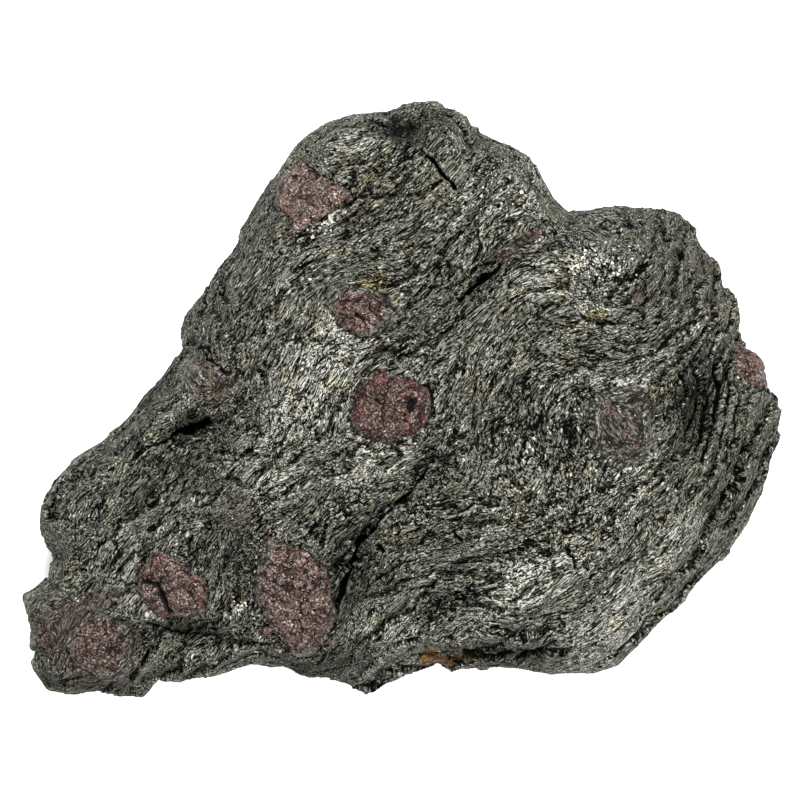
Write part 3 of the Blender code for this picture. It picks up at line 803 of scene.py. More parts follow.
def new_material(name):
    """A material, its node tree and its shader."""
    material = bpy.data.materials.new(name)
    material.use_nodes = True
    return material, Tree(material.node_tree), material.node_tree.nodes["Principled BSDF"]


def in_millimetres(tree):
    """The place on the object, in millimetres."""
    return tree.add("ShaderNodeTexCoord", {}, {}, "Object").stretched(1 / MM)


def with_painted_shade(tree, value, hollow_shade, edge_highlight):
    """A value with painted shade in hollows and a painted highlight on raised edges."""
    hollow = attribute(tree, "hollow")
    return value - hollow.between(0.0, 0.16) * hollow_shade + hollow.between(0.0, -0.12) * edge_highlight


def fill(tree, shader, values):
    """Gives the shader's sockets their values or links."""
    for key, value in values.items():
        if isinstance(value, Socket):
            tree.nodes.links.new(value.socket, shader.inputs[key])
        else:
            shader.inputs[key].default_value = value


def bumped(height, depth):
    """A normal from a height that is 0 to 1, for a relief depth millimetres deep."""
    sockets = {"Height": height, "Distance": depth * MM, "Strength": 1.0}
    return height.tree.add("ShaderNodeBump", {}, sockets, "Normal")


SCHIST_TONES = (
    (0.00, (0.0003, 0.0003, 0.0002)), (0.24, (0.0018, 0.0018, 0.0012)), (0.42, (0.015, 0.0155, 0.012)),
    (0.62, (0.053, 0.054, 0.043)), (0.80, (0.104, 0.105, 0.088)), (0.92, (0.185, 0.186, 0.162)),
    (1.00, (0.360, 0.360, 0.322)),
)
WARM_TINT = (1.05, 1.00, 0.88)
# A stain tints what it covers and adds a little colour of its own, between two strengths of its attribute.
STAINS = {
    "rust": ((1.00, 0.60, 0.32), (0.013, 0.006, 0.002), 0.15, 0.75),
    "ochre": ((1.15, 1.02, 0.62), (0, 0, 0), 0.15, 0.60),
    "stain": ((0.64, 0.54, 0.55), (0.013, 0.0102, 0.009), 0.10, 0.70),
    "white": ((0, 0, 0), (0.40, 0.40, 0.37), 0.40, 0.70),
}


def stained(tree, colour, grit):
    """The colour with warm patches, then each stain in turn, broken up by a fine pattern."""
    warmth = clouds(in_millimetres(tree).stretched(0.30), 4.0, 0.7).between(0.0, 0.14)
    colour = mixed(warmth, colour, colour.stretched(*WARM_TINT))
    for name, (tint, body, low, high) in STAINS.items():
        covered = colour.stretched(*tint).vector("ADD", body)
        colour = mixed((attribute(tree, name) + grit).between(low, high), colour, covered)
    return colour


def cell_tone_and_gap_shade(layers, size):
    """Splinters of that size, each lighter or darker than its neighbours, with painted shade in the gaps
    between them.
    """
    chance = cells(layers.over(size))
    return chance.part(0) - chance.twin("Distance") * 0.9 - 0.1


def schist_value(grain):
    """How pale the schist is at a place in the grain, with painted shade in cracks, in gaps and at the feet
    of ledges and with painted glints, before hollows and stains, and its fine relief.

    Each pattern is stretched to the size of one kind of mark. The sums at the end weigh them.
    """
    tree = grain.tree
    layers = folded(grain)
    fibres = packets(layers)
    granular = attribute(tree, "granular")
    striae = clouds(fibres.stretched(0.20, 5.2, 2.8), 3.0, 0.7)
    threads = clouds(fibres.stretched(1.4, 6.2, 4.2), 1.0, 0.8)
    splinters = cell_tone_and_gap_shade(fibres, (0.60, 0.12, 0.22)).math("MINIMUM", 0.55)
    grains = cell_tone_and_gap_shade(layers, (0.34, 0.20, 0.25))
    specks = clouds(layers.stretched(4.0, 5.6, 4.8), 1.0, 0.8)
    here_and_there = clouds(layers.stretched(0.30, 0.60, 0.5), 2.0)
    # Painted shade in fine hairline cracks, here and there.
    hairline_shade = lines(fibres.stretched(0.20, 1.5, 0.9), 0.070, 3.0) * here_and_there.between(-0.02, 0.08)
    # Painted shade in thin cracks.
    cracks = lines(fibres.stretched(0.15, 0.7, 0.4), 0.045, 4.0) * here_and_there.between(0.0, -0.06)
    # Painted shadow at the foot of each ledge and in the torn gaps.
    ledge_foot_shade = thick_splits(layers).between(0.03, 0.0) * broken_places(grain)
    foot_and_gap_shade = ledge_foot_shade.math("MAXIMUM", torn_lines(fibres))
    # Painted glints: pale specks in the colour that stand for light flashing off mica.
    painted_glints = cells(layers.stretched(3.6, 6.5, 5.0)).part(0).between(0.90, 0.96)
    bands = clouds(grain.stretched(0.06, 0.5, 0.3)) + clouds(grain.stretched(0.12, 0.3, 0.2))
    fine = striae * 0.60 + threads * 1.9 + specks * 1.8 + splinters * 0.28
    coarse = grains * 0.75 + threads * 1.8 + specks * 2.4 + striae * 0.2
    value = fine * (1.0 - granular) + coarse * granular - hairline_shade * 0.32 + bands * 0.3 + 0.60
    # Painted shade in cracks, at the feet of ledges and in torn gaps.
    value = value.math("MINIMUM", 0.86) - cracks * 0.55 - foot_and_gap_shade * 0.55 + painted_glints * (granular * 0.20 + 0.22)
    height = striae * 0.5 + threads * 0.5 + specks * 0.4 + splinters * 0.2 + grains * 0.3 * granular
    height = height - hairline_shade * 0.25 - cracks * 0.4 - foot_and_gap_shade * 0.5
    return value, height


def schist_material():
    material, tree, shader = new_material("schist")
    value, height = schist_value(attribute(tree, "grain", "Vector"))
    # The carved slits get painted shade, darkest where they cut deepest.
    carve = attribute(tree, "carve") + height * 0.5
    # The tone attribute adds paler and darker rock, its dark spots partly painted shade.
    value = value + attribute(tree, "tone") * 0.13 - carve.between(0.2, 0.8) * 0.34
    # Painted shade in hollows and a painted highlight on raised edges.
    colour = stained(tree, ramp(with_painted_shade(tree, value, 0.26, 0.06), SCHIST_TONES), height * 0.8)
    fill(tree, shader, {"Base Color": colour, "Roughness": 0.6, "Normal": bumped(height, 0.24),
                        "Specular IOR Level": 0.02})
    return material


schist = schist_material()
lump.data.materials.append(schist)
grow_tree(lump, relief, {"Strength": 1.0, "Material": schist})
raised_points = places(lump.data)
raised_points[:, 2] = np.maximum(raised_points[:, 2], cad_box[0][2])
move(lump.data, raised_points)
reach = np.linalg.norm(raised_points - points, axis=1) / MM
print(f"the relief moves the surface by up to {reach.max():.2f} mm")

# %% [markdown]
# ## Hollows, tones and stains
#
# With the relief in place, each vertex is compared with its smoothed surroundings: below them it is in a
# hollow, above them on an edge. The materials turn this into painted shade in the hollows and a painted
# highlight on the edges. The large pale and dark areas of this specimen, its granular places and its stains
# are soft ovals, given one by one; many of the dark areas are painted shade in recesses, under overhangs and
# on the sides of ridges turned from the light. They are numbers on the vertices and not an image, so the
# material can break their edges up at any scale.

# %% Hollow, tone and stain for each vertex
# Paler and darker rock, and painted shade: many dark spots sit in recesses, under overhangs, along the left
# flank and on the sides of ridges turned from the light, and are painted shade there.
# Place as seen, half length, half width, turn in degrees, and how much paler (up) or darker (down).
TONE_AND_SHADE_SPOTS = (
    (-10.5, 5, 8, 4.5, 50, 1.1), (-13, -1, 6, 4, 45, 0.8), (-38, -10, 9, 3.5, 48, -0.4),
    (16.5, -25, 8, 2.2, 34, 1.6), (26, -32, 6, 4, 45, 1.3), (31.5, -22.5, 4, 2, 40, 1.2),
    (12, -9, 4, 3, 40, 0.3), (17, 29, 3.5, 2, 40, 0.8), (-7, 34, 4, 2, 50, 0.7), (-8, 21, 4, 3, 25, 0.5),
    (37, -18, 5, 2.5, 60, 1.0), (19, 16, 6, 2, 25, 0.7), (26, 18, 3.5, 2, 0, 0.5), (30, -12, 5, 3, 60, 1.1),
    (26, 3, 6, 2.5, 0, 1.0), (33, 4, 4, 3, 0, 0.7), (40, 9, 3, 3, 0, 1.1), (10, 25, 3, 2.5, 30, 1.1),
    (20, -23, 4, 3, 30, 0.9), (-38, -19, 5, 3, 50, 0.7), (14, 5, 4, 2.5, 0, 0.8), (-18, -10, 4, 4, 0, 1.2),
    (-4, -9, 6, 3, 30, 1.1), (-1, -31, 5, 3, 0, 1.2), (38, 3, 3, 7, 0, -1.0), (39, -1, 6, 3, 75, -1.6),
    (0.5, 36, 4, 2, 0, -2.4), (-27, -4, 4, 2, 30, -2.0), (-28, -31, 7, 2.2, 0, -1.6),
    (-7, -20, 4, 2.5, 65, -1.8), (13, -33.3, 7, 1.6, 2, -2.2), (-47, -37, 3, 2, 0, -1.2),
    (-19, -25, 2, 5, 10, -1.0), (9.5, 14.5, 4, 1.6, 40, -1.2), (-20, -17, 3, 5, 0, -0.4),
    (25, -3, 2.5, 5, 0, -0.8), (-14, -36, 3, 1.5, 0, -1.2), (-40, -38, 4, 1.5, 0, -1.0),
    (-2, 15, 2.5, 2, 0, -0.5), (-34, -14, 6, 2, 50, -0.5), (-3, 27, 8, 4, 40, -0.35),
    (-10, -34, 5, 2.5, 0, -1.4), (0, 10, 3, 4, 0, -1.0), (16, 11, 3, 2, 0, -1.0), (14, -5, 4, 3, 0, -1.1),
    (21, -4, 3.5, 3, 0, -1.1), (5, -11, 3, 2.5, 0, -1.2), (43, -11, 6, 2.5, 75, -0.8),
    (-4, -24, 5, 2.5, 55, -0.7), (-25.5, -9.5, 3, 2.5, 0, -0.7), (-25, -22.5, 2.5, 4, 0, -0.7),
    (3.5, -5.5, 2.5, 2, 0, -1.0), (-32, 1, 2.5, 5, -40, -0.6), (7, -21, 4, 2, 20, -0.6),
    (-7, -28, 4, 2, 40, -0.7), (34, 13, 4, 3, 0, -0.6), (25, 12, 3.5, 2.5, 0, 0.9),
    (32, -26.5, 3, 2.5, 0, 1.0), (15, -32, 4, 1.5, 0, 1.2), (-3, -35, 3, 1.5, 0, 0.9),
    (-20, -31, 3, 2, 0, 0.8), (-29, -7, 3, 2, 40, 1.0), (-24, 2, 2.5, 3, 0, 0.6), (13, -18.5, 3, 2, 0, 0.6),
    (15.5, 14.5, 3, 2, 30, 0.9), (-14.5, 19, 4, 2.5, 45, 0.5), (28, -31, 3, 2, 40, 0.6),
    (-28, -31.5, 3, 2, 0, 0.8), (-44, -30, 3, 4, 0, -0.3), (18, 3, 6, 3, 0, -0.3), (33, -2, 2, 4, 0, -0.3),
    (-22.5, 15, 15, 3.5, 57, -0.5), (31.5, -22.5, 3, 2, 0, -0.6), (-40, -34, 5, 3, 0, -0.6),
)
# Place as seen, half length, half width, turn, strength.
PATCHES = {
    "rust": (
        (4, -34, 2.2, 0.8, 0, 1.0), (8, -33.6, 1.6, 0.6, 0, 0.7), (6.2, -34.2, 1.2, 0.5, 0, 0.8),
    ),
    "ochre": (
        (-3.2, 15.2, 3.0, 1.3, 15, 0.8), (26, 11, 1.6, 0.8, 20, 0.7), (21.3, 9.7, 1.0, 0.6, 0, 0.6),
        (-3.5, 29.5, 2.5, 1.5, 40, 0.4), (21.5, 16, 2.5, 3, 30, 0.3), (34, 1, 3, 1.5, 0, 0.4),
    ),
    "stain": (
        (28.9, -2.8, 4.2, 5.0, 0, 0.8), (-24.5, 2.3, 2.6, 3.4, 0, 0.8), (-21.5, -15, 2.4, 5.0, 0, 0.45),
        (39.5, 17.8, 1.6, 1.2, 0, 0.8), (31.2, 13.2, 2.2, 1.0, 0, 0.7), (14.8, 19.8, 2.8, 0.8, 35, 1.0),
        (-44, -30, 3.4, 3.6, 0, 1.2), (-39, -35.5, 4.5, 2.4, 0, 0.9), (-36, -30.5, 1.6, 2.6, 0, 0.7),
        (-40, -26.5, 4.0, 1.4, 20, 0.6),
    ),
    "white": (
        (-26.7, 1.9, 0.35, 0.9, 0, 1.0), (-31.4, -12.7, 0.5, 0.3, 50, 0.8),
        (-38.5, -17.2, 0.6, 0.3, 50, 0.7), (-9.6, 23.6, 0.8, 0.4, 50, 1.0),
        (-8.2, 24.6, 0.5, 0.3, 30, 1.0), (-2.9, -15.5, 0.6, 0.25, 50, 0.8),
        (-43.0, -26.4, 0.3, 0.3, 0, 1.0),
    ),
    "quartz": (
        (-9.4, 23.4, 2.6, 0.8, 40, 1.0), (-13.4, 24.4, 1.0, 0.8, 0, 0.7),
        (-12.0, 16.4, 0.5, 0.3, 60, 0.8), (26.0, 18.0, 4.6, 2.0, 0, 0.35),
        (-21.0, -27.6, 1.2, 0.7, 40, 0.7), (31.5, -5.0, 1.0, 4.0, -20, 0.12),
        (-26.7, 1.9, 0.4, 1.0, 0, 0.7), (-43.0, -26.4, 0.5, 0.5, 0, 0.8), (14, 28, 3.0, 3.0, 0, 0.08),
        (-6.0, 8.5, 3.0, 1.0, 0, 0.15),
    ),
    "granular": (
        (20, -7, 12, 8, 60, 1.0), (16, -22, 9, 4, 30, 0.8), (27, 17, 6, 3.5, 0, 0.9),
        (2, -13, 7, 4, 40, 0.9), (-9, 5, 4, 3, 40, 0.7), (-12, -2, 7, 4, 50, 0.7),
        (-43, -15, 5, 5, 50, 0.7), (-18, -17, 3, 8, 0, 0.8), (14, 28, 5, 3, 40, 0.7),
        (2, 35, 6, 3, 30, 0.8), (-26, 0, 4, 6, 0, 0.8), (38, 4, 4, 4, 0, 0.6), (27, -18, 5, 8, -50, 0.6),
        (8, 5, 7, 5, 40, 0.5), (-2, 15, 4, 3, 0, 0.7),
    ),
}
CLOSE, WIDE = 5, 40  # rounds of smoothing, which reach about 0.4 mm and 1.2 mm on the lump
WIDE_SHARE = 0.35
PATCH_BENDS = (3.0, 1.3)  # how wide the bends of an oval's edge are, and how far they go
FACE_UP = (-0.1, 0.3)  # paint fades out where the surface's upward part is between these


def painted(points, spots):
    """The sum of all the spots' shares, times their strengths."""
    total = np.zeros(len(points))
    for x, y, length, width, turn, strength in spots:
        total += strength * spot_share(points, x, y, length, width, turn)
    return total


def mark_surface(obj):
    """Stores the hollows, which the materials turn into painted shade and edge highlights, the tone, whose
    dark spots are partly painted shade, and the patches on a finished surface.
    """
    mesh = obj.data
    links = Neighbours(mesh)
    points, facing = places(mesh), normals(mesh)
    close, wide = (((links.smoothed(points, rounds) - points) * facing).sum(axis=1) / MM
                   for rounds in (CLOSE, WIDE))
    store(mesh, "hollow", close + WIDE_SHARE * wide)
    flat = wandering(seen(points), *PATCH_BENDS)
    upward = ramped(facing[:, 2], *FACE_UP)
    store(mesh, "tone", painted(flat, TONE_AND_SHADE_SPOTS) * upward)
    for name, spots in PATCHES.items():
        store(mesh, name, np.clip(painted(flat, spots), 0, 1) * upward)


mark_surface(lump)
print(f"{len(TONE_AND_SHADE_SPOTS)} tones and {sum(map(len, PATCHES.values()))} patches painted")

# %% [markdown]
# The relief needs small triangles while it is made and fewer to be kept. A Decimate modifier with a vertex
# group thins the underside first, where nobody looks. Folds that close up can leave loose specks, which are
# deleted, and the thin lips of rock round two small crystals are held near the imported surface.

# %% Thin the mesh where nobody looks
MOST_TRIANGLES = 195_000
UNSEEN = 0.75  # how strongly the underside gives way before the face does
UNDERSIDE = (-0.4, 0.2)  # it ends where the surface's upward part is between these
LIP_SWING = 0.30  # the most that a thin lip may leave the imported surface, in millimetres
LIP_FIRMNESS = 0.9  # rock less firm than this is a lip


def one_piece(obj):
    """Deletes every loose bit but the largest, and says how many. A bit's faces are joined along edges."""
    build = bmesh.new()
    build.from_mesh(obj.data)
    waiting = set(build.faces)
    bits = []
    while waiting:
        front = [waiting.pop()]
        bit = []
        while front:
            face = front.pop()
            bit.append(face)
            pairs = (edge.link_faces for edge in face.edges if len(edge.link_faces) == 2)
            fresh = {other for pair in pairs for other in pair} & waiting
            waiting -= fresh
            front.extend(fresh)
        bits.append(bit)
    bits.sort(key=len)
    for bit in bits[:-1]:
        bmesh.ops.delete(build, geom=bit, context="FACES")
    build.to_mesh(obj.data)
    build.free()
    return len(bits) - 1


before = triangle_count(lump)
if before > MOST_TRIANGLES:
    weights = np.round(1 - UNSEEN * ramped(normals(lump.data)[:, 2], *UNDERSIDE), 1)
    group = lump.vertex_groups.new(name="gives_way")
    for level in np.unique(weights):
        group.add(np.flatnonzero(weights == level).tolist(), float(level), "REPLACE")
    thin = lump.modifiers.new("thin", "DECIMATE")
    thin.ratio = MOST_TRIANGLES / before
    thin.vertex_group = group.name
    thin.vertex_group_factor = 1.0
    bake_modifiers(lump)
    lump.vertex_groups.clear()
print(one_piece(lump), "loose bits deleted")
held = places(lump.data)
for index in np.flatnonzero(firmness(held) < LIP_FIRMNESS):
    nearest = np.array(packed_skin.find_nearest(held[index])[0])
    gap = held[index] - nearest
    held[index] = nearest + gap * min(1.0, LIP_SWING * MM / max(np.linalg.norm(gap), 1e-9))
move(lump.data, held)
lump.data.shade_smooth()
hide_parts("matrix")
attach(lump, "root")
print(f"the lump went from {before} triangles to {triangle_count(lump)}")

# %% [markdown]
# ## Scales of mica and grains of quartz
#
# Close up, schist is a mat of tiny scales that catch the light one by one. A bump map can't do that at a
# grazing angle, so real scales are scattered: each is a splinter of four triangles, laid along the run of the
# layers and tipped a little. Here and there grains of quartz stand between them, which are the same splinter,
# blunter and tipped any way. Each keeps a random number, from which its material picks a mineral's colour;
# the palest few scales are painted glints, pale colour standing for light flashing off mica.

# %% Geometry Nodes that scatter the scales
def splinter(tree):
    """A splinter with four faces, one unit high and about one wide: a triangle below, a point on top."""
    return tree.add("GeometryNodeMeshCone", {"fill_type": "NGON"},
                    {"Vertices": 3, "Radius Top": 0.0, "Radius Bottom": 0.58, "Depth": 1.0}, "Mesh")


def chance_between(tree, low, high, seed, kind="FLOAT"):
    """A random number, or a random vector, for each point."""
    first, second, output = {"FLOAT": (2, 3, 1), "FLOAT_VECTOR": (0, 1, 0)}[kind]
    sockets = {first: low, second: high, "Seed": seed}
    return tree.add("FunctionNodeRandomValue", {"data_type": kind}, sockets, output)


TIP_SEED, BULK_SEED, CHANCE_SEED = 11, 12, 13

scales, given = new_tree("mineral_scales", {
    "Density": 1e7, "Length": 0.6, "Width": 0.22, "Height": 0.12, "Tip": 0.5, "Stand": 0.02, "Seed": 1,
    "Material": None})
scatter = scales.add("GeometryNodeDistributePointsOnFaces", {}, {
    "Mesh": given["Geometry"], "Density": given["Density"] * named(scales, "cover"),
    "Seed": given["Seed"]}, "Points")
outward = scatter.twin("Normal")
laid = scales.add("FunctionNodeAxesToRotation", {"primary_axis": "Z", "secondary_axis": "X"}, {
    "Primary Axis": outward, "Secondary Axis": named(scales, "run", "FLOAT_VECTOR")})
tip = chance_between(scales, (-1, -1, -0.8), (1, 1, 0.8), TIP_SEED, "FLOAT_VECTOR").scaled(given["Tip"])
tipped = scales.add("FunctionNodeRotateRotation", {"rotation_space": "LOCAL"}, {
    "Rotation": laid, "Rotate By": scales.add("FunctionNodeEulerToRotation", {}, {0: tip})})
bulk = chance_between(scales, 0.55, 1.35, BULK_SEED)
size = scales.add("ShaderNodeCombineXYZ", {}, {
    axis: given[side] * bulk * MM for axis, side in enumerate(("Length", "Width", "Height"))})
standing = scales.add("GeometryNodeSetPosition", {}, {
    "Geometry": scatter, "Offset": outward.scaled(given["Stand"] * MM)})
copies = scales.add("GeometryNodeInstanceOnPoints", {}, {
    "Points": standing, "Instance": splinter(scales), "Rotation": tipped, "Scale": size})
chosen = scales.add("GeometryNodeStoreNamedAttribute", {"data_type": "FLOAT", "domain": "INSTANCE"}, {
    "Geometry": copies, "Name": "chance", "Value": chance_between(scales, 0.0, 1.0, CHANCE_SEED)})
finish_tree(scales, chosen, given["Material"])

# %% Materials of the scales and the grains
# The top stops are painted glints: the few scales whose number is near 1 are made pale to stand for light
# flashing off mica.
SCALE_TONES = (
    (0.00, (0.001, 0.001, 0.001)), (0.30, (0.010, 0.011, 0.008)), (0.60, (0.040, 0.042, 0.033)),
    (0.82, (0.085, 0.087, 0.071)), (0.95, (0.180, 0.182, 0.160)), (1.00, (0.420, 0.420, 0.385)),
)


def scale_material():
    material, tree, shader = new_material("mineral_scales")
    chance = attribute(tree, "chance")
    fine = clouds(in_millimetres(tree).stretched(5.0), 2.0, 0.6)
    # Painted shade in hollows and a painted highlight on raised edges.
    # The tone attribute's dark spots are partly painted shade.
    value = with_painted_shade(tree, chance + attribute(tree, "tone") * 0.14 + fine * 0.5, 0.30, 0.08)
    colour = stained(tree, ramp(value, SCALE_TONES), fine)
    rough = 0.60 - chance.between(0.7, 1.0) * 0.34
    fill(tree, shader, {"Base Color": colour, "Roughness": rough, "Specular IOR Level": 0.1})
    return material


QUARTZ_TONES = ((0.00, (0.12, 0.12, 0.10)), (0.35, (0.30, 0.30, 0.27)), (1.00, (0.62, 0.61, 0.56)))


def quartz_material():
    """Milky white, with here and there a yellowish grain."""
    material, tree, shader = new_material("quartz_grains")
    chance = attribute(tree, "chance")
    milk = ramp(chance + clouds(in_millimetres(tree).stretched(3.0), 2.0) * 0.8, QUARTZ_TONES)
    colour = mixed(chance.between(0.86, 0.88), milk, milk.stretched(1.0, 0.88, 0.68))
    fill(tree, shader, {"Base Color": colour, "Roughness": 0.35, "Specular IOR Level": 0.4})
    return material


# %% Scatter the scales and the grains
MOST_SCALES = 32_000
MOST_GRAINS = 280

facing = normals(lump.data)
off_table = ramped(places(lump.data)[:, 2] / MM, 0.2, 0.8)
whole = 1 - ramped(stored(lump.data, "carve"), 0.3, 0.8)
scale_cover = (0.35 + 0.65 * ramped(facing[:, 2], -0.3, 0.3)) * whole * off_table
quartz_cover = stored(lump.data, "quartz") ** 1.5
# Name, length, width, height, tip, how far the middle stands proud, how many, where and the finish.
SCATTERS = (
    ("mica_scales", 0.26, 0.14, 0.07, 0.6, 0.0, MOST_SCALES, scale_cover, scale_material()),
    ("quartz_grains", 0.50, 0.38, 0.32, 2.0, 0.04, MOST_GRAINS, quartz_cover, quartz_material()),
)


def area_weights(mesh):
    """How much surface belongs to each vertex, in square metres."""
    share = np.zeros(len(mesh.vertices))
    for polygon in mesh.polygons:
        share[list(polygon.vertices)] += polygon.area / len(polygon.vertices)
    return share


surface_shares = area_weights(lump.data)
for seed, (name, length, width, height, tip, stand, most, cover, finish) in enumerate(SCATTERS):
    layer = linked(name, lump.data.copy())
    layer.data.name = name
    layer.data.materials.clear()
    layer.data.materials.append(finish)
    store(layer.data, "cover", cover)
    grow_tree(layer, scales, {
        "Density": most / (surface_shares * cover).sum(), "Length": length, "Width": width,
        "Height": height, "Tip": tip, "Stand": stand, "Seed": seed, "Material": finish})
    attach(layer, "root")
    print(name, triangle_count(layer), "triangles")

# %% [markdown]
# ## The crystals
#
# A garnet in schist is seldom a clean crystal: it cracks all through, and its surface breaks into angular
# crumbs a millimetre or less across. Each crystal gets its own fine surface, with cells of random tilt for
# the crumbs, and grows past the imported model's clearance so that it sits tight in its socket.

# %% Crumbled crystal surfaces
CRYSTAL_VOXEL = 0.2  # mm
# Each layer of crumbs: size as a share of the Crumb input, step between neighbours, and lean.
CRUMB_LAYERS = ((1.8, 0.8, 1.6), (0.8, 0.5, 0.9), (0.36, 0.2, 0.35))


def crumbs(coords, size, step, tilt):
    """Height of crumbs whose faces lean at random. size is in the same unit as coords."""
    place = coords.scaled(1.0 / size)
    chance = cells(place)
    way = chance.vector("SUBTRACT", (0.5,) * 3)
    slope = place.vector("SUBTRACT", chance.twin("Position")).vector("DOT_PRODUCT", way)
    return (chance.part(0) - 0.5) * step + slope * tilt


crumble, given = new_tree("crumbled_crystal", {"Crumb": 0.9, "Depth": 0.5, "Grow": 0.2, "Material": None})
place = crumble.add("GeometryNodeInputPosition", {}, {}).stretched(1 / MM)
jagged = bent(place, (1.7,) * 3, (1.1,) * 3, 3.0)
large, middling, small = (crumbs(jagged, given["Crumb"] * share, step, lean)
                          for share, step, lean in CRUMB_LAYERS)
depth = large + middling + small
push = crumble.add("GeometryNodeInputNormal", {}, {}).scaled((depth * given["Depth"] + given["Grow"]) * MM)
broken = crumble.add("GeometryNodeSetPosition", {}, {"Geometry": given["Geometry"], "Offset": push})
finish_tree(crumble, broken, given["Material"])

# %% [markdown]
# The finish of garnet here is not glassy. It is a crumbly brownish pink, speckled with pale crumbs and with
# painted shade in the gaps and cracks between them, redder towards the rim where fresh edges show, and dusted
# with the grey green of the schist. How light, how red and how dusty differs from crystal to crystal, so one
# function makes a material for each.

# %% Garnet material
# For each crystal: how light, how red, how dusty with schist.
GARNET_LOOKS = {
    "garnet_top_left": (1.15, 0.50, 0.15), "garnet_upper_middle": (0.85, 0.65, 0.60),
    "garnet_centre": (0.80, 0.75, 0.30), "garnet_lower_middle": (0.98, 0.50, 0.35),
    "garnet_lower_left": (0.95, 0.50, 0.10), "garnet_corner": (0.82, 0.15, 0.50),
    "garnet_corner_west": (0.80, 0.10, 0.60), "garnet_veiled": (0.85, 0.0, 1.10),
    "garnet_right_edge": (1.10, 0.65, 0.15), "garnet_left_notch": (1.05, 0.0, 1.00),
    "garnet_ridge": (0.85, 0.25, 0.80),
}
OTHER_LOOK = (0.85, 0.60, 0.20)
CRUMB_TONES = (
    (0.00, (0.002, 0.001, 0.001)), (0.22, (0.014, 0.008, 0.006)), (0.42, (0.048, 0.030, 0.024)),
    (0.60, (0.100, 0.068, 0.056)), (0.78, (0.175, 0.128, 0.108)), (0.92, (0.290, 0.230, 0.200)),
    (1.00, (0.440, 0.390, 0.350)),
)
RED_TONES = (
    (0.00, (0.003, 0.001, 0.001)), (0.35, (0.030, 0.009, 0.009)), (0.60, (0.100, 0.034, 0.034)),
    (0.82, (0.190, 0.085, 0.080)), (1.00, (0.400, 0.280, 0.250)),
)
CRUMB_SIZES = (0.75, 0.38, 0.20)  # of the crumbs that only the finish shows, in millimetres
# Cracks in the crystals: half width, depth, then the line, as seen.
CRYSTAL_SLITS = (
    (0.40, 1.3, ((-34.0, -23.8), (-31.8, -24.0), (-31.1, -25.6), (-30.8, -27.2), (-30.0, -28.4))),
    (0.36, 0.9, ((-33.8, -21.4), (-34.4, -23.4), (-34.2, -25.2))),
    (0.30, 0.4, ((-12.6, -24.2), (-13.2, -26.4), (-12.8, -28.4))),
    (0.22, 0.5, ((-11.2, -19.5), (-10.4, -22.0), (-10.8, -24.4))),
    (0.55, 0.9, ((1.2, -1.2), (1.6, 0.0))),
    (0.25, 0.6, ((-4.6, 0.6), (-2.4, -0.4), (0.6, -2.0))),
    (0.25, 0.7, ((-14.4, 27.2), (-12.4, 26.2), (-10.4, 24.8), (-9.4, 25.4))),
    (0.30, 0.6, ((-7.6, 12.4), (-5.2, 11.0), (-3.8, 9.4))),
    (0.25, 0.5, ((-4.4, 13.6), (-3.8, 11.6), (-2.2, 10.6))),
    (0.25, 0.6, ((-42.6, -29.4), (-41.4, -31.2), (-41.2, -33.0))),
    (0.22, 0.4, ((-38.6, -28.2), (-37.6, -30.4), (-35.4, -31.4))),
    (0.25, 0.5, ((45.6, 5.4), (46.8, 3.0), (48.0, 2.2))),
)


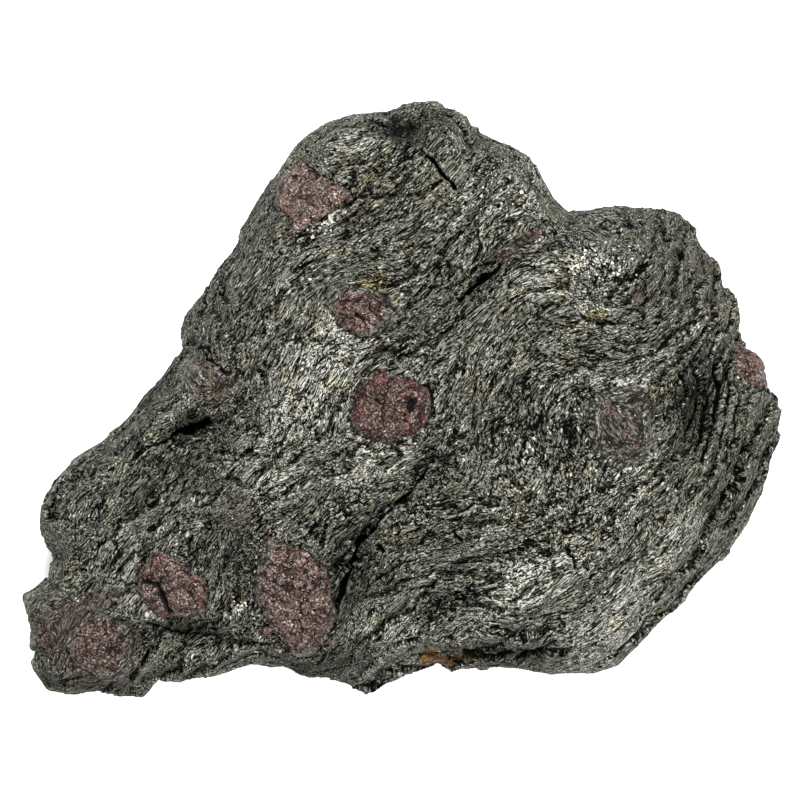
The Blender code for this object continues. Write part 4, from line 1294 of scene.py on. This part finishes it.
def garnet_material(name, light, red, dusty):
    """The finish of one crystal. Under its dust it is a mix of brownish crumbs and red ones."""
    material, tree, shader = new_material(name)
    place = in_millimetres(tree)
    jagged = bent(place, (1.4,) * 3, (0.9,) * 3, 3.0)
    mottle = clouds(place.stretched(0.45), 4.0, 0.6)
    grit = clouds(place.stretched(4.2), 3.0, 0.8)
    crumb = [cell_tone_and_gap_shade(jagged, (size,) * 3) for size in CRUMB_SIZES]
    cracks = lines(jagged.stretched(0.38), 0.030, 2.0)
    hollow = attribute(tree, "hollow")
    value = mottle * 0.55 + grit * 1.30 + crumb[0] * 0.12 + crumb[1] * 0.22 + crumb[2] * 0.55 + 0.52
    # Painted shade in hollows and thin cracks, and a painted highlight on raised edges.
    value = value - hollow.between(0.02, 0.14) * 0.24 + hollow.between(0.0, -0.1) * 0.05 - cracks * 0.5
    # Painted shade in the crystal's carved cracks.
    value = value - attribute(tree, "carve").between(0.1, 0.5) * 0.7 + 0.25 * math.log2(light)
    rim = attribute(tree, "rim")
    fresh = (clouds(place.stretched(0.8), 3.0, 0.7) + rim * 0.10 + (red - 0.85) * 0.30).between(0.0, 0.12)
    colour = mixed(fresh, ramp(value, CRUMB_TONES), ramp(value, RED_TONES))
    dust = clouds(place.stretched(0.60), 5.0, 0.8) * 1.3 + rim * rim * 0.30 + (dusty - 0.95) * 0.42
    # The dust takes the schist's value, with its painted shade and glints, and more painted shade in hollows.
    coat = schist_value(attribute(tree, "grain", "Vector"))[0] - hollow.between(0.0, 0.12) * 0.3
    colour = mixed(dust.between(-0.02, 0.05) * 0.92, colour, ramp(coat, SCHIST_TONES))
    height = grit * 0.5 + crumb[0] * 0.3 + crumb[1] * 0.3 + crumb[2] * 0.2 - cracks * 0.4
    fill(tree, shader, {"Base Color": colour, "Roughness": 0.55, "Normal": bumped(height, 0.4),
                        "Specular IOR Level": 0.15})
    return material


# %% Break up each crystal
FULL_CRUMBS = 6.0  # a crystal this wide or wider has crumbs of full size
FEWEST_VOXELS = 14  # over the width of a crystal
CRUMB, CRUMB_DEPTH, GROWTH = 0.9, 0.24, 0.38  # millimetres, for crumbs of full size
RIM = (0.45, 1.0)  # it begins and is full here, as shares of a crystal's half width

slots = {s["node"]: s["material_slot"] for s in frame["record"]["subparts"]}
for node in sorted(slots):
    if node == "matrix":
        continue
    low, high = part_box(node)
    across = (high[0] - low[0]) / MM
    crystal = remeshed(merged_copy(node, f"{node}_surface"), min(CRYSTAL_VOXEL, across / FEWEST_VOXELS))
    finish = garnet_material(f"{node}_finish", *GARNET_LOOKS.get(node, OTHER_LOOK))
    crystal.data.materials.append(finish)
    points, facing = places(crystal.data), normals(crystal.data)
    cut = slit_depth(points, CRYSTAL_SLITS, facing[:, 2])
    move(crystal.data, points - facing * (cut * MM)[:, None])
    store(crystal.data, "grain", grain_of(points))
    store(crystal.data, "carve", cut)
    scale = min(1.0, across / FULL_CRUMBS)
    grow_tree(crystal, crumble, {
        "Crumb": CRUMB * scale, "Depth": CRUMB_DEPTH * scale, "Grow": GROWTH * scale, "Material": finish})
    mark_surface(crystal)
    offset = half_widths(places(crystal.data), node)
    store(crystal.data, "rim", ramped(np.linalg.norm(offset[:, :2], axis=1), *RIM))
    crystal.data.shade_smooth()
    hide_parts(node)
    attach(crystal, "root")
    print(node, triangle_count(crystal), "triangles")
